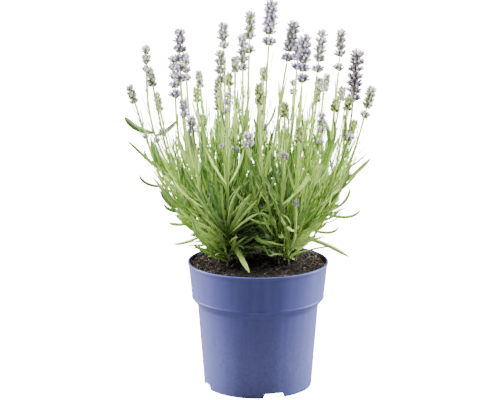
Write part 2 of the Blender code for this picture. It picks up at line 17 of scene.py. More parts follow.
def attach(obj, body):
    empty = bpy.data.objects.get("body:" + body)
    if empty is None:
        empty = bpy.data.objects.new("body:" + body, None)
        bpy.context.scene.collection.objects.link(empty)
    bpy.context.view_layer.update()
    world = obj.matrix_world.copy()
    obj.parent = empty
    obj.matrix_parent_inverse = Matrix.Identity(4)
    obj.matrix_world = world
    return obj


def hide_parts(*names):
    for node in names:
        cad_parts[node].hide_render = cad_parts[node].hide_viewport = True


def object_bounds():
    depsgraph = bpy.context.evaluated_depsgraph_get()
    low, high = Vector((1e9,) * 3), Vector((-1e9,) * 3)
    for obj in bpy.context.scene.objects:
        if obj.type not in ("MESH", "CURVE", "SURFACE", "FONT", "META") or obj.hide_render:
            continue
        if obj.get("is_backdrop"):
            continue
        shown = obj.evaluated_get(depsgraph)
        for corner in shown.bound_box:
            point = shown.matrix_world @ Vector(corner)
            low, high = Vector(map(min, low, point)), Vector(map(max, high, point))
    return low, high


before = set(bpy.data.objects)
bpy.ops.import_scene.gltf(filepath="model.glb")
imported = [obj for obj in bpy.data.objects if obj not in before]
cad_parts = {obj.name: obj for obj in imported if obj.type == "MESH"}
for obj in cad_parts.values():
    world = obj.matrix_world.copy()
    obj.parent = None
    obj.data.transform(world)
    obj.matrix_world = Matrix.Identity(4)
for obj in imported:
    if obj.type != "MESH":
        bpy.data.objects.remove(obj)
cad_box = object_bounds()
MM = 0.001
print("nodes:", len(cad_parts), "box in mm:", [[round(x / MM, 1) for x in corner] for corner in cad_box])

# %% [markdown]
# ## Colours and nodes
# A colour is picked as an sRGB hex code, because that is what a picture shows, but Blender mixes light in
# linear values. One function turns the first into the second. Another adds any node with its settings and
# what feeds its sockets, so that a material or a geometry tree reads as a short list.

# %% A colour helper and the node helpers
def linear(code):
    """An sRGB hex colour as linear RGBA."""
    parts = [int(code[k:k + 2], 16) / 255 for k in (1, 3, 5)]
    return tuple(c / 12.92 if c <= 0.04045 else ((c + 0.055) / 1.055) ** 2.4 for c in parts) + (1.0,)


def wire(node, feeds):
    """Feeds a node's sockets, each with a value, a socket or another node's first output."""
    for name, value in feeds.items():
        if isinstance(value, bpy.types.Node):
            value = value.outputs[0]
        if isinstance(value, bpy.types.NodeSocket):
            node.id_data.links.new(value, node.inputs[name])
        else:
            node.inputs[name].default_value = value


def add(tree, kind, feeds=None, stops=(), **settings):
    """Adds a node with its settings and what feeds its sockets. The stops are a colour ramp's."""
    node = tree.nodes.new(kind)
    for name, value in settings.items():
        setattr(node, name, value)
    wire(node, feeds or {})
    for k, (place, code) in enumerate(stops):
        ramp = node.color_ramp.elements
        stop = ramp[k] if k < 2 else ramp.new(place)
        stop.position = place
        stop.color = linear(code)
    return node


def laid_over(tree, colour, *layers):
    """A colour with others laid over it in turn, each by its own share."""
    for share, code in layers:
        colour = add(tree, "ShaderNodeMix", {"Factor": share, 6: colour, 7: linear(code)},
                     data_type="RGBA").outputs[2]
    return colour


def new_material(name, roughness, **sockets):
    """A material, its tree, its Principled shader with its constant sockets set, and Object coordinates."""
    material = bpy.data.materials.new(name)
    material.use_nodes = True
    tree = material.node_tree
    shader = tree.nodes["Principled BSDF"]
    wire(shader,
         {"Roughness": roughness} | {socket.replace("_", " "): value for socket, value in sockets.items()})
    return material, tree, shader, add(tree, "ShaderNodeTexCoord").outputs["Object"]


def grain(millimetres):
    """The scale of a noise whose features are that many millimetres across."""
    return 1 / (millimetres * MM)


print("periwinkle in linear light:", [round(c, 3) for c in linear("#646caa")])

# %% [markdown]
# ## The camera
# The picture looks slightly down on the plant from a good way off, as a product photographer does to keep
# the pot's sides nearly parallel. A long lens at 1.7 m gives the same ellipse to the rim as the picture
# has.

# %% Place the camera
CAMERA_PLACE = (-7.4, -1685.0, 547.0)
CAMERA_PITCH = 12.45
LENS, SENSOR_WIDTH = 135.4, 36.0
camera = bpy.data.objects.new("camera", bpy.data.cameras.new("camera"))
camera.location = [x * MM for x in CAMERA_PLACE]
camera.rotation_euler = (math.radians(90 - CAMERA_PITCH), 0, 0)
camera.data.lens = LENS
camera.data.sensor_width = SENSOR_WIDTH
bpy.context.scene.collection.objects.link(camera)
bpy.context.scene.camera = camera
print("camera at", [round(x, 3) for x in camera.location])

# %% [markdown]
# ## The studio
# The plant stands on a pale sweep that burns out to white. A wide lamp overhead lights the leaves, and one
# tall soft box on each side lights the pot's edges and leaves its front in half shade, which is how the
# picture shows it. An even light from all round fills the gaps between the leaves. The paper looks
# brighter to the lens than it shines on the pot, as a background with lamps of its own does.

# %% Make the floor and the lamps
FLOOR_SIDE, FLOOR_DROP = 30.0, 0.0002


def soft_box(name, place, aim, width, height, watts):
    """A rectangular lamp at a place, turned to face a point."""
    lamp = bpy.data.lights.new(name, "AREA")
    lamp.shape = "RECTANGLE"
    lamp.size = width
    lamp.size_y = height
    lamp.energy = watts
    made = bpy.data.objects.new(name, lamp)
    made.location = place
    made.rotation_euler = (Vector(aim) - Vector(place)).to_track_quat("-Z", "Y").to_euler()
    bpy.context.scene.collection.objects.link(made)
    return made


MIDDLE = (0, 0, 0.18)
soft_box("overhead", (0, 0.3, 2.2), MIDDLE, 2.2, 1.3, 266)
soft_box("left_box", (-1.2, 0.3, 0.6), MIDDLE, 0.6, 1.6, 117)
soft_box("right_box", (1.2, 0.3, 0.6), MIDDLE, 0.6, 1.6, 112)

WORLD_LIGHT, PAPER_GLOW = 0.42, 20.0
world = bpy.data.worlds.new("studio")
world.use_nodes = True
tree = world.node_tree
seen = add(tree, "ShaderNodeLightPath")
strength = add(tree, "ShaderNodeMapRange", {"Value": seen.outputs["Is Camera Ray"], "To Min": WORLD_LIGHT,
                                            "To Max": PAPER_GLOW})
wire(tree.nodes["Background"], {"Color": (1, 1, 1, 1), "Strength": strength})
bpy.context.scene.world = world

sweep_paper, tree, shader, _ = new_material("matt_white_paper", 0.9)
texture = add(tree, "ShaderNodeTexNoise", {"Scale": grain(40), "Detail": 2.0})
tint = add(tree, "ShaderNodeValToRGB", {"Fac": texture}, stops=((0.3, "#686868"), (0.7, "#6c6c6c")))
seen = add(tree, "ShaderNodeLightPath")
glow = add(tree, "ShaderNodeMath", {0: seen.outputs["Is Camera Ray"], 1: PAPER_GLOW}, operation="MULTIPLY")
wire(shader, {"Base Color": tint, "Emission Color": (1, 1, 1, 1), "Emission Strength": glow})
floor_mesh = bpy.data.meshes.new("floor")
work = bmesh.new()
bmesh.ops.create_grid(work, x_segments=1, y_segments=1, size=FLOOR_SIDE / 2)
work.to_mesh(floor_mesh)
work.free()
floor = bpy.data.objects.new("floor", floor_mesh)
floor.location.z = -FLOOR_DROP
floor.data.materials.append(sweep_paper)
bpy.context.scene.collection.objects.link(floor)
floor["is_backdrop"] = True
print("lamps:", len(bpy.data.lights))

# %% [markdown]
# ## The pot
# A nursery pot is polypropylene, moulded in one shot: a tapered body, a wider collar that stiffens the rim,
# a thin lip, a fine raised edge at the collar's foot, and slots round the foot that let water out. It is a
# turned shape, so its section is drawn once, every corner rounded by a short arc, and turned about Z. The
# slots and the drain holes are then cut as they are in the mould.

# %% Draw the pot's section
POT_HEIGHT, RIM_RADIUS = 118.0, 65.0
COLLAR_FOOT_RADIUS, COLLAR_FOOT_HEIGHT = 61.0, 84.0
BODY_TOP_RADIUS, BODY_TOP_HEIGHT = 56.0, 78.0
FOOT_RADIUS, WALL = 50.0, 1.3
LIP_BEAD, LIP_HEIGHT, COLLAR_EDGE = 0.8, 2.2, 0.5
FLOOR_RAISE, FOOT_PAD_RADIUS, FOOT_PAD_SLOPE = 5.0, 20.0, 3.0
POT_TURNS = 144


def inner_radius(height):
    """The inside of the pot's tapered body."""
    return FOOT_RADIUS + (BODY_TOP_RADIUS - FOOT_RADIUS) * height / BODY_TOP_HEIGHT - WALL


def pot_section():
    """Corners (radius, height, rounding): over the floor, up inside, over the lip, down, under the foot."""
    floor_top = FLOOR_RAISE + WALL
    pad_edge = FOOT_PAD_RADIUS + FOOT_PAD_SLOPE
    inside = [(0, WALL, 0), (FOOT_PAD_RADIUS - WALL / 2, WALL, 1), (pad_edge - WALL / 2, floor_top, 1),
              (inner_radius(floor_top), floor_top, 1.5),
              (BODY_TOP_RADIUS - WALL, BODY_TOP_HEIGHT + WALL / 2, 2),
              (COLLAR_FOOT_RADIUS - WALL, COLLAR_FOOT_HEIGHT + WALL / 2, 2),
              (RIM_RADIUS - LIP_BEAD - WALL, POT_HEIGHT, 0.5)]
    outside = [(RIM_RADIUS, POT_HEIGHT, 0.8), (RIM_RADIUS, POT_HEIGHT - LIP_HEIGHT, 0.6),
               (RIM_RADIUS - LIP_BEAD, POT_HEIGHT - LIP_HEIGHT - LIP_BEAD, 0.5),
               (COLLAR_FOOT_RADIUS + 0.2, COLLAR_FOOT_HEIGHT + 1.9, 0.3),
               (COLLAR_FOOT_RADIUS + COLLAR_EDGE, COLLAR_FOOT_HEIGHT + 0.9, 0.3),
               (COLLAR_FOOT_RADIUS + 0.2, COLLAR_FOOT_HEIGHT, 0.4), (BODY_TOP_RADIUS, BODY_TOP_HEIGHT, 1.6),
               (FOOT_RADIUS, 0, 0.7)]
    under = [(FOOT_RADIUS - WALL, 0, 0.3), (FOOT_RADIUS - WALL, FLOOR_RAISE, 0.6),
             (pad_edge, FLOOR_RAISE, 0.8),
             (FOOT_PAD_RADIUS, 0, 0.8), (0, 0, 0)]
    return inside + outside + under


def rounded(corners, steps=4):
    """The same outline with each corner replaced by a short curve."""
    points = []
    for k, (x, z, rounding) in enumerate(corners):
        here = np.array([x, z], float)
        if not rounding:
            points.append(here)
            continue
        before = np.array(corners[k - 1][:2], float)
        after = np.array(corners[k + 1][:2], float)
        start = here + (before - here) / np.linalg.norm(before - here) * rounding
        end = here + (after - here) / np.linalg.norm(after - here) * rounding
        for t in np.linspace(0, 1, steps + 1):
            points.append((1 - t) ** 2 * start + 2 * t * (1 - t) * here + t ** 2 * end)
    return points


print("points round the pot's section:", len(rounded(pot_section())))

# %% Turn it and cut the slots and drain holes
COLLAR_SLOPE = (RIM_RADIUS - LIP_BEAD - COLLAR_FOOT_RADIUS) / (POT_HEIGHT - COLLAR_FOOT_HEIGHT)
NOTCHES, NOTCH_TURN, NOTCH_WIDTH, NOTCH_HEIGHT, NOTCH_FLARE = 4, 17.0, 19.5, 4.6, 2.6
NOTCH_REACH, PEAT_STAIN_AND_SHADE, POT_SHARP_ANGLE = 5, 0.9, 38
DRAIN_HOLES, DRAIN_RADIUS, DRAIN_CIRCLE = 8, 3.5, 35.0


def show(name, mesh, *materials):
    """A mesh as an object at the origin, in the scene, with its materials."""
    made = bpy.data.objects.new(name, mesh)
    for material in materials:
        made.data.materials.append(material)
    bpy.context.scene.collection.objects.link(made)
    return made


def store(mesh, label, numbers):
    """Stores one number or one vector at each point of a mesh."""
    numbers = np.asarray(numbers, np.float32)
    kind, field = ("FLOAT_VECTOR", "vector") if numbers.ndim == 2 else ("FLOAT", "value")
    mesh.attributes.new(label, kind, "POINT").data.foreach_set(field, numbers.ravel())


def settled(obj, name):
    """A plain mesh of an object as its modifiers leave it. The object is removed."""
    graph = bpy.context.evaluated_depsgraph_get()
    mesh = bpy.data.meshes.new_from_object(obj.evaluated_get(graph), preserve_all_data_layers=True,
                                           depsgraph=graph)
    mesh.name = name
    bpy.data.objects.remove(obj)
    return mesh


def turned(name, outline, steps):
    """A closed solid turned about Z from points (radius, height) in millimetres, its ends on the axis."""
    mesh = bpy.data.meshes.new(name)
    mesh.from_pydata([(x * MM, 0, z * MM) for x, z in outline], [(i, i + 1) for i in range(len(outline) - 1)],
                     [])
    obj = show(name, mesh)
    screw = obj.modifiers.new("turn", "SCREW")
    screw.steps = screw.render_steps = steps
    screw.use_merge_vertices = True
    screw.merge_threshold = 0.000001
    return settled(obj, name)


def foot_slots(work):
    """Four flared blocks, each the shape of a slot through the foot."""
    for k in range(NOTCHES):
        turn = math.radians(NOTCH_TURN - 90 + 360 * k / NOTCHES)
        for vert in bmesh.ops.create_cube(work, size=2)["verts"]:
            radial = FOOT_RADIUS - 1 + NOTCH_REACH * vert.co.x
            side = (NOTCH_WIDTH / 2 - NOTCH_FLARE / 2 * vert.co.z) * vert.co.y
            height = NOTCH_HEIGHT / 2 * (1 + vert.co.z) - (1 - vert.co.z)
            vert.co = (radial * math.cos(turn) - side * math.sin(turn),
                       radial * math.sin(turn) + side * math.cos(turn), height)


def drain_cores(work):
    """Round cores for the drain holes, on a circle."""
    for k in range(DRAIN_HOLES):
        turn = 2 * math.pi * (k + 0.5) / DRAIN_HOLES
        core = bmesh.ops.create_cone(work, cap_ends=True, segments=32, radius1=DRAIN_RADIUS,
                                     radius2=DRAIN_RADIUS,
                                     depth=WALL + 4)["verts"]
        shift = (DRAIN_CIRCLE * math.cos(turn), DRAIN_CIRCLE * math.sin(turn), FLOOR_RAISE + WALL / 2)
        bmesh.ops.translate(work, verts=core, vec=shift)


def cutter(name, fill):
    """A shape that fill draws in millimetres, to cut the pot with."""
    work = bmesh.new()
    fill(work)
    bmesh.ops.scale(work, verts=work.verts, vec=(MM, MM, MM))
    mesh = bpy.data.meshes.new(name)
    work.to_mesh(mesh)
    work.free()
    return show(name, mesh)


pot_blank = show("pot_blank", turned("pot_blank", rounded(pot_section()), POT_TURNS))
cutters = [cutter("slot_cutter", foot_slots), cutter("drain_cutter", drain_cores)]
for tool in cutters:
    boolean = pot_blank.modifiers.new(tool.name, "BOOLEAN")
    boolean.operation = "DIFFERENCE"
    boolean.object = tool
    boolean.solver = "EXACT"
pot_mesh = settled(pot_blank, "pot_moulding")
for tool in cutters:
    bpy.data.objects.remove(tool)
# The inside over the collar's foot is painted near black: partly wet peat soaked in, partly painted shade.
stain_and_shade = []
for point in pot_mesh.vertices:
    over_foot = point.co.z / MM - COLLAR_FOOT_HEIGHT
    middle_of_wall = COLLAR_FOOT_RADIUS - WALL / 2 + over_foot * COLLAR_SLOPE
    inside = over_foot > WALL and point.co.to_2d().length / MM < middle_of_wall
    stain_and_shade.append(PEAT_STAIN_AND_SHADE if inside else 0.0)
store(pot_mesh, "peaty", stain_and_shade)
pot_mesh.shade_smooth()
pot_mesh.set_sharp_from_angle(angle=math.radians(POT_SHARP_ANGLE))
print("pot:", len(pot_mesh.polygons), "faces")

# %% [markdown]
# ## Moulded polypropylene
# The plastic comes out of the mould satin and a little uneven. Its colour carries faint upright streaks
# where the melt flowed up from the gate in the floor, its skin has a fine orange peel, and the lower wall
# picks up some dust. The inside just over the soil is painted near black, partly as wet peat soaked into
# the plastic and partly as painted shade under the leaves, and an attribute on the mesh marks it.
# Polypropylene has an IOR near 1.49. The streaks and the peel are drawn from noise on Object coordinates,
# the first stretched in Z. The peel is about 0.6 mm in reality and is drawn at 0.9 mm, so that it shows.

# %% Mix the pot's plastic
pot_plastic, tree, shader, place = new_material("polypropylene_moulded_periwinkle", 0.4, IOR=1.49,
                                                Specular_IOR_Level=0.3)
stretch = add(tree, "ShaderNodeMapping", {"Vector": place, "Scale": (1, 1, 0.05)})
streaks = add(tree, "ShaderNodeTexNoise", {"Vector": stretch, "Scale": grain(9), "Detail": 3.0})
colour = add(tree, "ShaderNodeValToRGB", {"Fac": streaks},
             stops=((0.3, "#3a3e76"), (0.55, "#3f437d"), (0.75, "#444883")))
height = add(tree, "ShaderNodeSeparateXYZ", {"Vector": place})
low = add(tree, "ShaderNodeMapRange",
          {"Value": height.outputs["Z"], "From Min": 0.085, "From Max": 0.03, "To Min": 0.0, "To Max": 0.3})
specks = add(tree, "ShaderNodeTexNoise", {"Vector": place, "Scale": grain(3), "Detail": 5.0})
dust = add(tree, "ShaderNodeMath", {0: low, 1: specks}, operation="MULTIPLY")
# Wet peat and painted shade, nearly black, on the inside wall.
peaty = add(tree, "ShaderNodeAttribute", attribute_name="peaty")
stained_and_shaded = laid_over(tree, colour, (dust, "#7f83b2"), (peaty.outputs["Fac"], "#15100f"))
sheen_spots = add(tree, "ShaderNodeMapRange", {"Value": specks, "To Min": 0.4, "To Max": 0.56})
peel = add(tree, "ShaderNodeTexNoise", {"Vector": place, "Scale": grain(0.9), "Detail": 1.0})
waves = add(tree, "ShaderNodeMath", {0: streaks, 1: 2.0}, operation="MULTIPLY")
relief = add(tree, "ShaderNodeMath", {0: peel, 1: waves}, operation="ADD")
bump = add(tree, "ShaderNodeBump", {"Height": relief, "Strength": 0.12, "Distance": 0.0006})
wire(shader, {"Base Color": stained_and_shaded, "Roughness": sheen_spots, "Normal": bump})

pot = show("pot_moulding", pot_mesh, pot_plastic)
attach(pot, "root")
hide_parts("pot")
print("pot replaces its solid")

# %% [markdown]
# ## The root ball
# The pot is filled to 2 mm under the lip with peat: a dark, loose, lumpy surface, a little lower at the
# wall. The ball is one closed form, whose top is a polar grid raised by the same waves as the solid's, with
# finer noise on it.

# %% Raise the peat's surface
SOIL_TOP, SOIL_GAP, SOIL_LUMP = 116.0, 0.35, 0.9
SOIL_RINGS, SOIL_SPOKES = 44, 150
SOIL_GRIT, SOIL_FALL = 0.9, 1.2


def soil_height(x, y):
    """The lumpy top of the soil."""
    wave = math.sin(0.19 * x + 1.3) * math.cos(0.23 * y - 0.4) + 0.6 * math.sin(0.41 * x - 0.33 * y)
    return SOIL_TOP + SOIL_LUMP * wave


def soil_point(radius, edge, turn):
    """A point of the top: the waves, a fall towards the wall, and grit from two noises."""
    x, y = radius * math.cos(turn), radius * math.sin(turn)
    fall = SOIL_FALL * (radius / edge) ** 8
    grit = noise.noise(Vector((x, y, 0)) * 0.35) + 0.7 * noise.noise(Vector((x, y, 5)) * 0.9)
    return Vector((x, y, soil_height(x, y) - fall + SOIL_GRIT * grit)) * MM


edge = COLLAR_FOOT_RADIUS - WALL - SOIL_GAP
wall_slope = (RIM_RADIUS - LIP_BEAD - WALL - SOIL_GAP - edge) / (POT_HEIGHT - COLLAR_FOOT_HEIGHT)
top_edge = edge + wall_slope * (SOIL_TOP - COLLAR_FOOT_HEIGHT)
floor_level = FLOOR_RAISE + WALL + SOIL_GAP
pad_hollow = FOOT_PAD_RADIUS - WALL - SOIL_GAP
below = [(edge, COLLAR_FOOT_HEIGHT + 2), (BODY_TOP_RADIUS - WALL - SOIL_GAP, BODY_TOP_HEIGHT + 2),
         (inner_radius(floor_level) - SOIL_GAP, floor_level), (pad_hollow + FOOT_PAD_SLOPE, floor_level),
         (pad_hollow, WALL + SOIL_GAP)]

turns = [2 * math.pi * k / SOIL_SPOKES for k in range(SOIL_SPOKES)]
work = bmesh.new()
middle = work.verts.new(soil_point(0, top_edge, 0))
rings = []
for k in range(1, SOIL_RINGS + 1):
    rings.append([work.verts.new(soil_point(top_edge * k / SOIL_RINGS, top_edge, turn)) for turn in turns])
for radius, level in below:
    rings.append([work.verts.new(Vector((radius * math.cos(turn), radius * math.sin(turn), level)) * MM)
                  for turn in turns])
bottom = work.verts.new((0, 0, (WALL + SOIL_GAP) * MM))
for k in range(SOIL_SPOKES):
    after = (k + 1) % SOIL_SPOKES
    work.faces.new((middle, rings[0][k], rings[0][after]))
    for inner, outer in zip(rings, rings[1:]):
        work.faces.new((inner[k], outer[k], outer[after], inner[after]))
    work.faces.new((bottom, rings[-1][after], rings[-1][k]))
soil_mesh = bpy.data.meshes.new("peat_root_ball")
work.to_mesh(soil_mesh)
top_only = work.copy()
lows = [v for v in top_only.verts if v.co.z < (SOIL_TOP - 6) * MM
        or v.co.to_2d().length > (top_edge - 1.2) * MM]
bmesh.ops.delete(top_only, geom=lows, context="VERTS")
soil_skin = bpy.data.meshes.new("soil_skin")
top_only.to_mesh(soil_skin)
top_only.free()
work.free()
soil_mesh.shade_smooth()
print("root ball:", len(soil_mesh.polygons), "faces, surface for crumbs:", len(soil_skin.polygons))

# %% [markdown]
# ## Peat, crumbs and fibres
# Up close, peat is crumbs of a millimetre or two, short pale root fibres and a few light chips of wood.
# They are scattered by Geometry Nodes: points on the surface, each with a crumb, a fibre or a chip turned
# at random. The colours come from noise, so that no two lumps match, and an attribute tells each crumb's
# own shade. The middle, under the leaves, is painted near black as painted shade, and the peat turns to a
# red-brown near the wall.

# %% Mix the peat and the pale fibres
peat, tree, shader, place = new_material("peat_loose_moist", 0.95, Specular_IOR_Level=0.25)
lumps = add(tree, "ShaderNodeTexNoise", {"Vector": place, "Scale": grain(2.2), "Detail": 6.0})
own = add(tree, "ShaderNodeAttribute", attribute_name="shade")
shifted = add(tree, "ShaderNodeMath", {0: lumps, 1: own.outputs["Fac"]}, operation="ADD")
colour = add(tree, "ShaderNodeValToRGB", {"Fac": shifted},
             stops=((0.35, "#0f0a09"), (0.7, "#231916"), (0.88, "#42332c"), (1.0, "#786a60")))
# Painted shade: the peat is painted near black in the middle, under the leaves, fading to its own colours
# towards the wall.
across = add(tree, "ShaderNodeVectorMath", {0: place, 1: (1, 0.3, 0)}, operation="MULTIPLY")
reach = add(tree, "ShaderNodeVectorMath", {0: across}, operation="LENGTH")
shade_fade = add(tree, "ShaderNodeMapRange",
             {"Value": reach.outputs["Value"], "From Min": 0.028, "From Max": 0.048})
painted_shade_middle = add(tree, "ShaderNodeMix", {"Factor": shade_fade, 6: linear("#1c1714"), 7: colour},
            data_type="RGBA")
fine = add(tree, "ShaderNodeTexNoise", {"Vector": place, "Scale": grain(0.5), "Detail": 4.0})
bump = add(tree, "ShaderNodeBump", {"Height": fine, "Strength": 0.7, "Distance": 0.0008})
wire(shader, {"Base Color": painted_shade_middle.outputs[2], "Normal": bump})

fibre, tree, shader, place = new_material("root_fibre_dry", 0.8)
patches = add(tree, "ShaderNodeTexNoise", {"Vector": place, "Scale": grain(5), "Detail": 2.0})
colour = add(tree, "ShaderNodeValToRGB", {"Fac": patches},
             stops=((0.35, "#3d2f26"), (0.6, "#6d5c4a"), (0.8, "#a39478")))
wire(shader, {"Base Color": colour})
print("peat and fibre mixed")

# %% Shape one crumb set and one fibre, then scatter them
def new_tree(name, inputs):
    """A Geometry Nodes tree with named inputs, what it is given and the node that takes its result."""
    tree = bpy.data.node_groups.new(name, "GeometryNodeTree")
    tree.interface.new_socket("Geometry", in_out="INPUT", socket_type="NodeSocketGeometry")
    tree.interface.new_socket("Geometry", in_out="OUTPUT", socket_type="NodeSocketGeometry")
    for label, kind in inputs.items():
        tree.interface.new_socket(label, in_out="INPUT", socket_type="NodeSocket" + kind)
    return tree, add(tree, "NodeGroupInput").outputs, add(tree, "NodeGroupOutput")


def end_tree(tree, result, geometry, material):
    """Ends a tree: its instances are made real and take their material."""
    real = add(tree, "GeometryNodeRealizeInstances", {"Geometry": geometry})
    wire(result, {"Geometry": add(tree, "GeometryNodeSetMaterial", {"Geometry": real, "Material": material})})


def grown(name, mesh, tree, values):
    """The plain mesh that a tree makes of a guide mesh, with the tree's inputs set by their names here."""
    guide = show(name + "_guide", mesh)
    modifier = guide.modifiers.new("grow", "NODES")
    modifier.node_group = tree
    for socket in tree.interface.items_tree:
        if socket.in_out == "INPUT" and socket.name in values:
            modifier[socket.identifier] = values[socket.name]
    return settled(guide, name)


def lump_shapes(name, count, seed):
    """A hidden collection of small irregular stones, each an icosphere with its corners moved."""
    draw = random.Random(seed)
    group = bpy.data.collections.new(name)
    for k in range(count):
        work = bmesh.new()
        bmesh.ops.create_icosphere(work, subdivisions=1, radius=MM)
        squash = (draw.uniform(0.8, 1.2), draw.uniform(0.6, 1.0), draw.uniform(0.5, 0.8))
        for vert in work.verts:
            push = draw.uniform(0.72, 1.15)
            vert.co = Vector([c * s * push for c, s in zip(vert.co, squash)])
        mesh = bpy.data.meshes.new(f"{name}_{k}")
        work.to_mesh(mesh)
        work.free()
        group.objects.link(bpy.data.objects.new(f"{name}_{k}", mesh))
    return group


def fibre_set(name, count, seed):
    """A hidden collection of bent root fibres, 6 to 14 mm long and a third of a millimetre thick."""
    draw = random.Random(seed)
    group = bpy.data.collections.new(name)
    for k in range(count):
        length, bow, rise = draw.uniform(6, 14), draw.uniform(-4, 4), draw.uniform(0.5, 2.5)
        work = bmesh.new()
        rings = []
        for step in range(7):
            share = step / 6
            middle = (length * (share - 0.5), bow * math.sin(math.pi * share),
                      rise * math.sin(math.pi * share))
            size = 0.22 * (1 - 0.7 * share)
            rings.append([work.verts.new((Vector(middle) + Vector((0, y, z)) * size) * MM)
                          for y, z in ((1, 0), (0, 1), (-1, 0), (0, -1))])
        work.faces.new(rings[0][::-1])
        for low, high in zip(rings, rings[1:]):
            for side in range(4):
                after = (side + 1) % 4
                work.faces.new((low[side], low[after], high[after], high[side]))
        work.faces.new(rings[-1])
        mesh = bpy.data.meshes.new(f"{name}_{k}")
        work.to_mesh(mesh)
        work.free()
        group.objects.link(bpy.data.objects.new(f"{name}_{k}", mesh))
    return group


scatter, given, result = new_tree("scatter_on_surface", {
    "Shapes": "Collection", "Density": "Float", "Smallest": "Float", "Largest": "Float", "Lift": "Float",
    "Tumble": "Float", "Seed": "Int", "Material": "Material"})
points = add(scatter, "GeometryNodeDistributePointsOnFaces",
             {"Mesh": given["Geometry"], "Density": given["Density"], "Seed": given["Seed"]})
lift = add(scatter, "ShaderNodeCombineXYZ", {"Z": given["Lift"]})
lifted = add(scatter, "GeometryNodeSetPosition", {"Geometry": points, "Offset": lift})
shapes = add(scatter, "GeometryNodeCollectionInfo",
             {"Collection": given["Shapes"], "Separate Children": True, "Reset Children": True})
spin = add(scatter, "FunctionNodeRandomValue",
           {"Max": (6.28, 6.28, 6.28), "Seed": given["Seed"]}, data_type="FLOAT_VECTOR")
size = add(scatter, "FunctionNodeRandomValue",
           {2: given["Smallest"], 3: given["Largest"], "Seed": given["Seed"]}, data_type="FLOAT")
limit = add(scatter, "ShaderNodeCombineXYZ", {"X": given["Tumble"], "Y": given["Tumble"], "Z": 1.0})
held = add(scatter, "ShaderNodeVectorMath", {0: spin, 1: limit}, operation="MULTIPLY")
turn = add(scatter, "FunctionNodeEulerToRotation", {0: held})
placed = add(scatter, "GeometryNodeInstanceOnPoints",
             {"Points": lifted, "Instance": shapes, "Pick Instance": True,
              "Rotation": turn, "Scale": size.outputs[1]})
shade = add(scatter, "FunctionNodeRandomValue", {2: 0.0, 3: 0.45, "Seed": given["Seed"]}, data_type="FLOAT")
marked = add(scatter, "GeometryNodeStoreNamedAttribute",
             {"Geometry": placed, "Name": "shade", "Value": shade.outputs[1]}, domain="INSTANCE")
end_tree(scatter, result, marked, given["Material"])
print("scatter tree:", len(scatter.nodes), "nodes")

# %% Dress the soil
crumb_shapes = lump_shapes("crumb", 5, 3)
crumbs = grown("peat_crumbs", soil_skin.copy(), scatter, {
    "Shapes": crumb_shapes, "Density": 220000.0, "Smallest": 0.35, "Largest": 1.25, "Lift": 0.0001,
    "Tumble": 1.0,
    "Seed": 4, "Material": peat})
crumbs.shade_smooth()
fibre_shapes = fibre_set("fibre", 6, 5)
fibres = grown("root_fibres", soil_skin.copy(), scatter, {
    "Shapes": fibre_shapes, "Density": 9000.0, "Smallest": 0.4, "Largest": 1.0, "Lift": 0.0014,
    "Tumble": 0.05,
    "Seed": 9, "Material": fibre})
soil = show("peat_root_ball", soil_mesh, peat)
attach(soil, "root")
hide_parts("soil")
for mesh in (crumbs, fibres):
    layer = show(mesh.name, mesh)
    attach(layer, "root")
print("crumbs:", len(crumbs.polygons), "faces, fibres:", len(fibres.polygons), "faces")

# %% [markdown]
# ## The plan of the plant
# Fourteen leafy stems leave the soil in two loose crowns, and each forks into two to four flower stalks.
# The lists say where each stem comes out, where each spike's top is, how long the spike is, how far it has
# opened, and how upright it ends. They are the plant's driving dimensions, in millimetres; every curve
# follows from them.

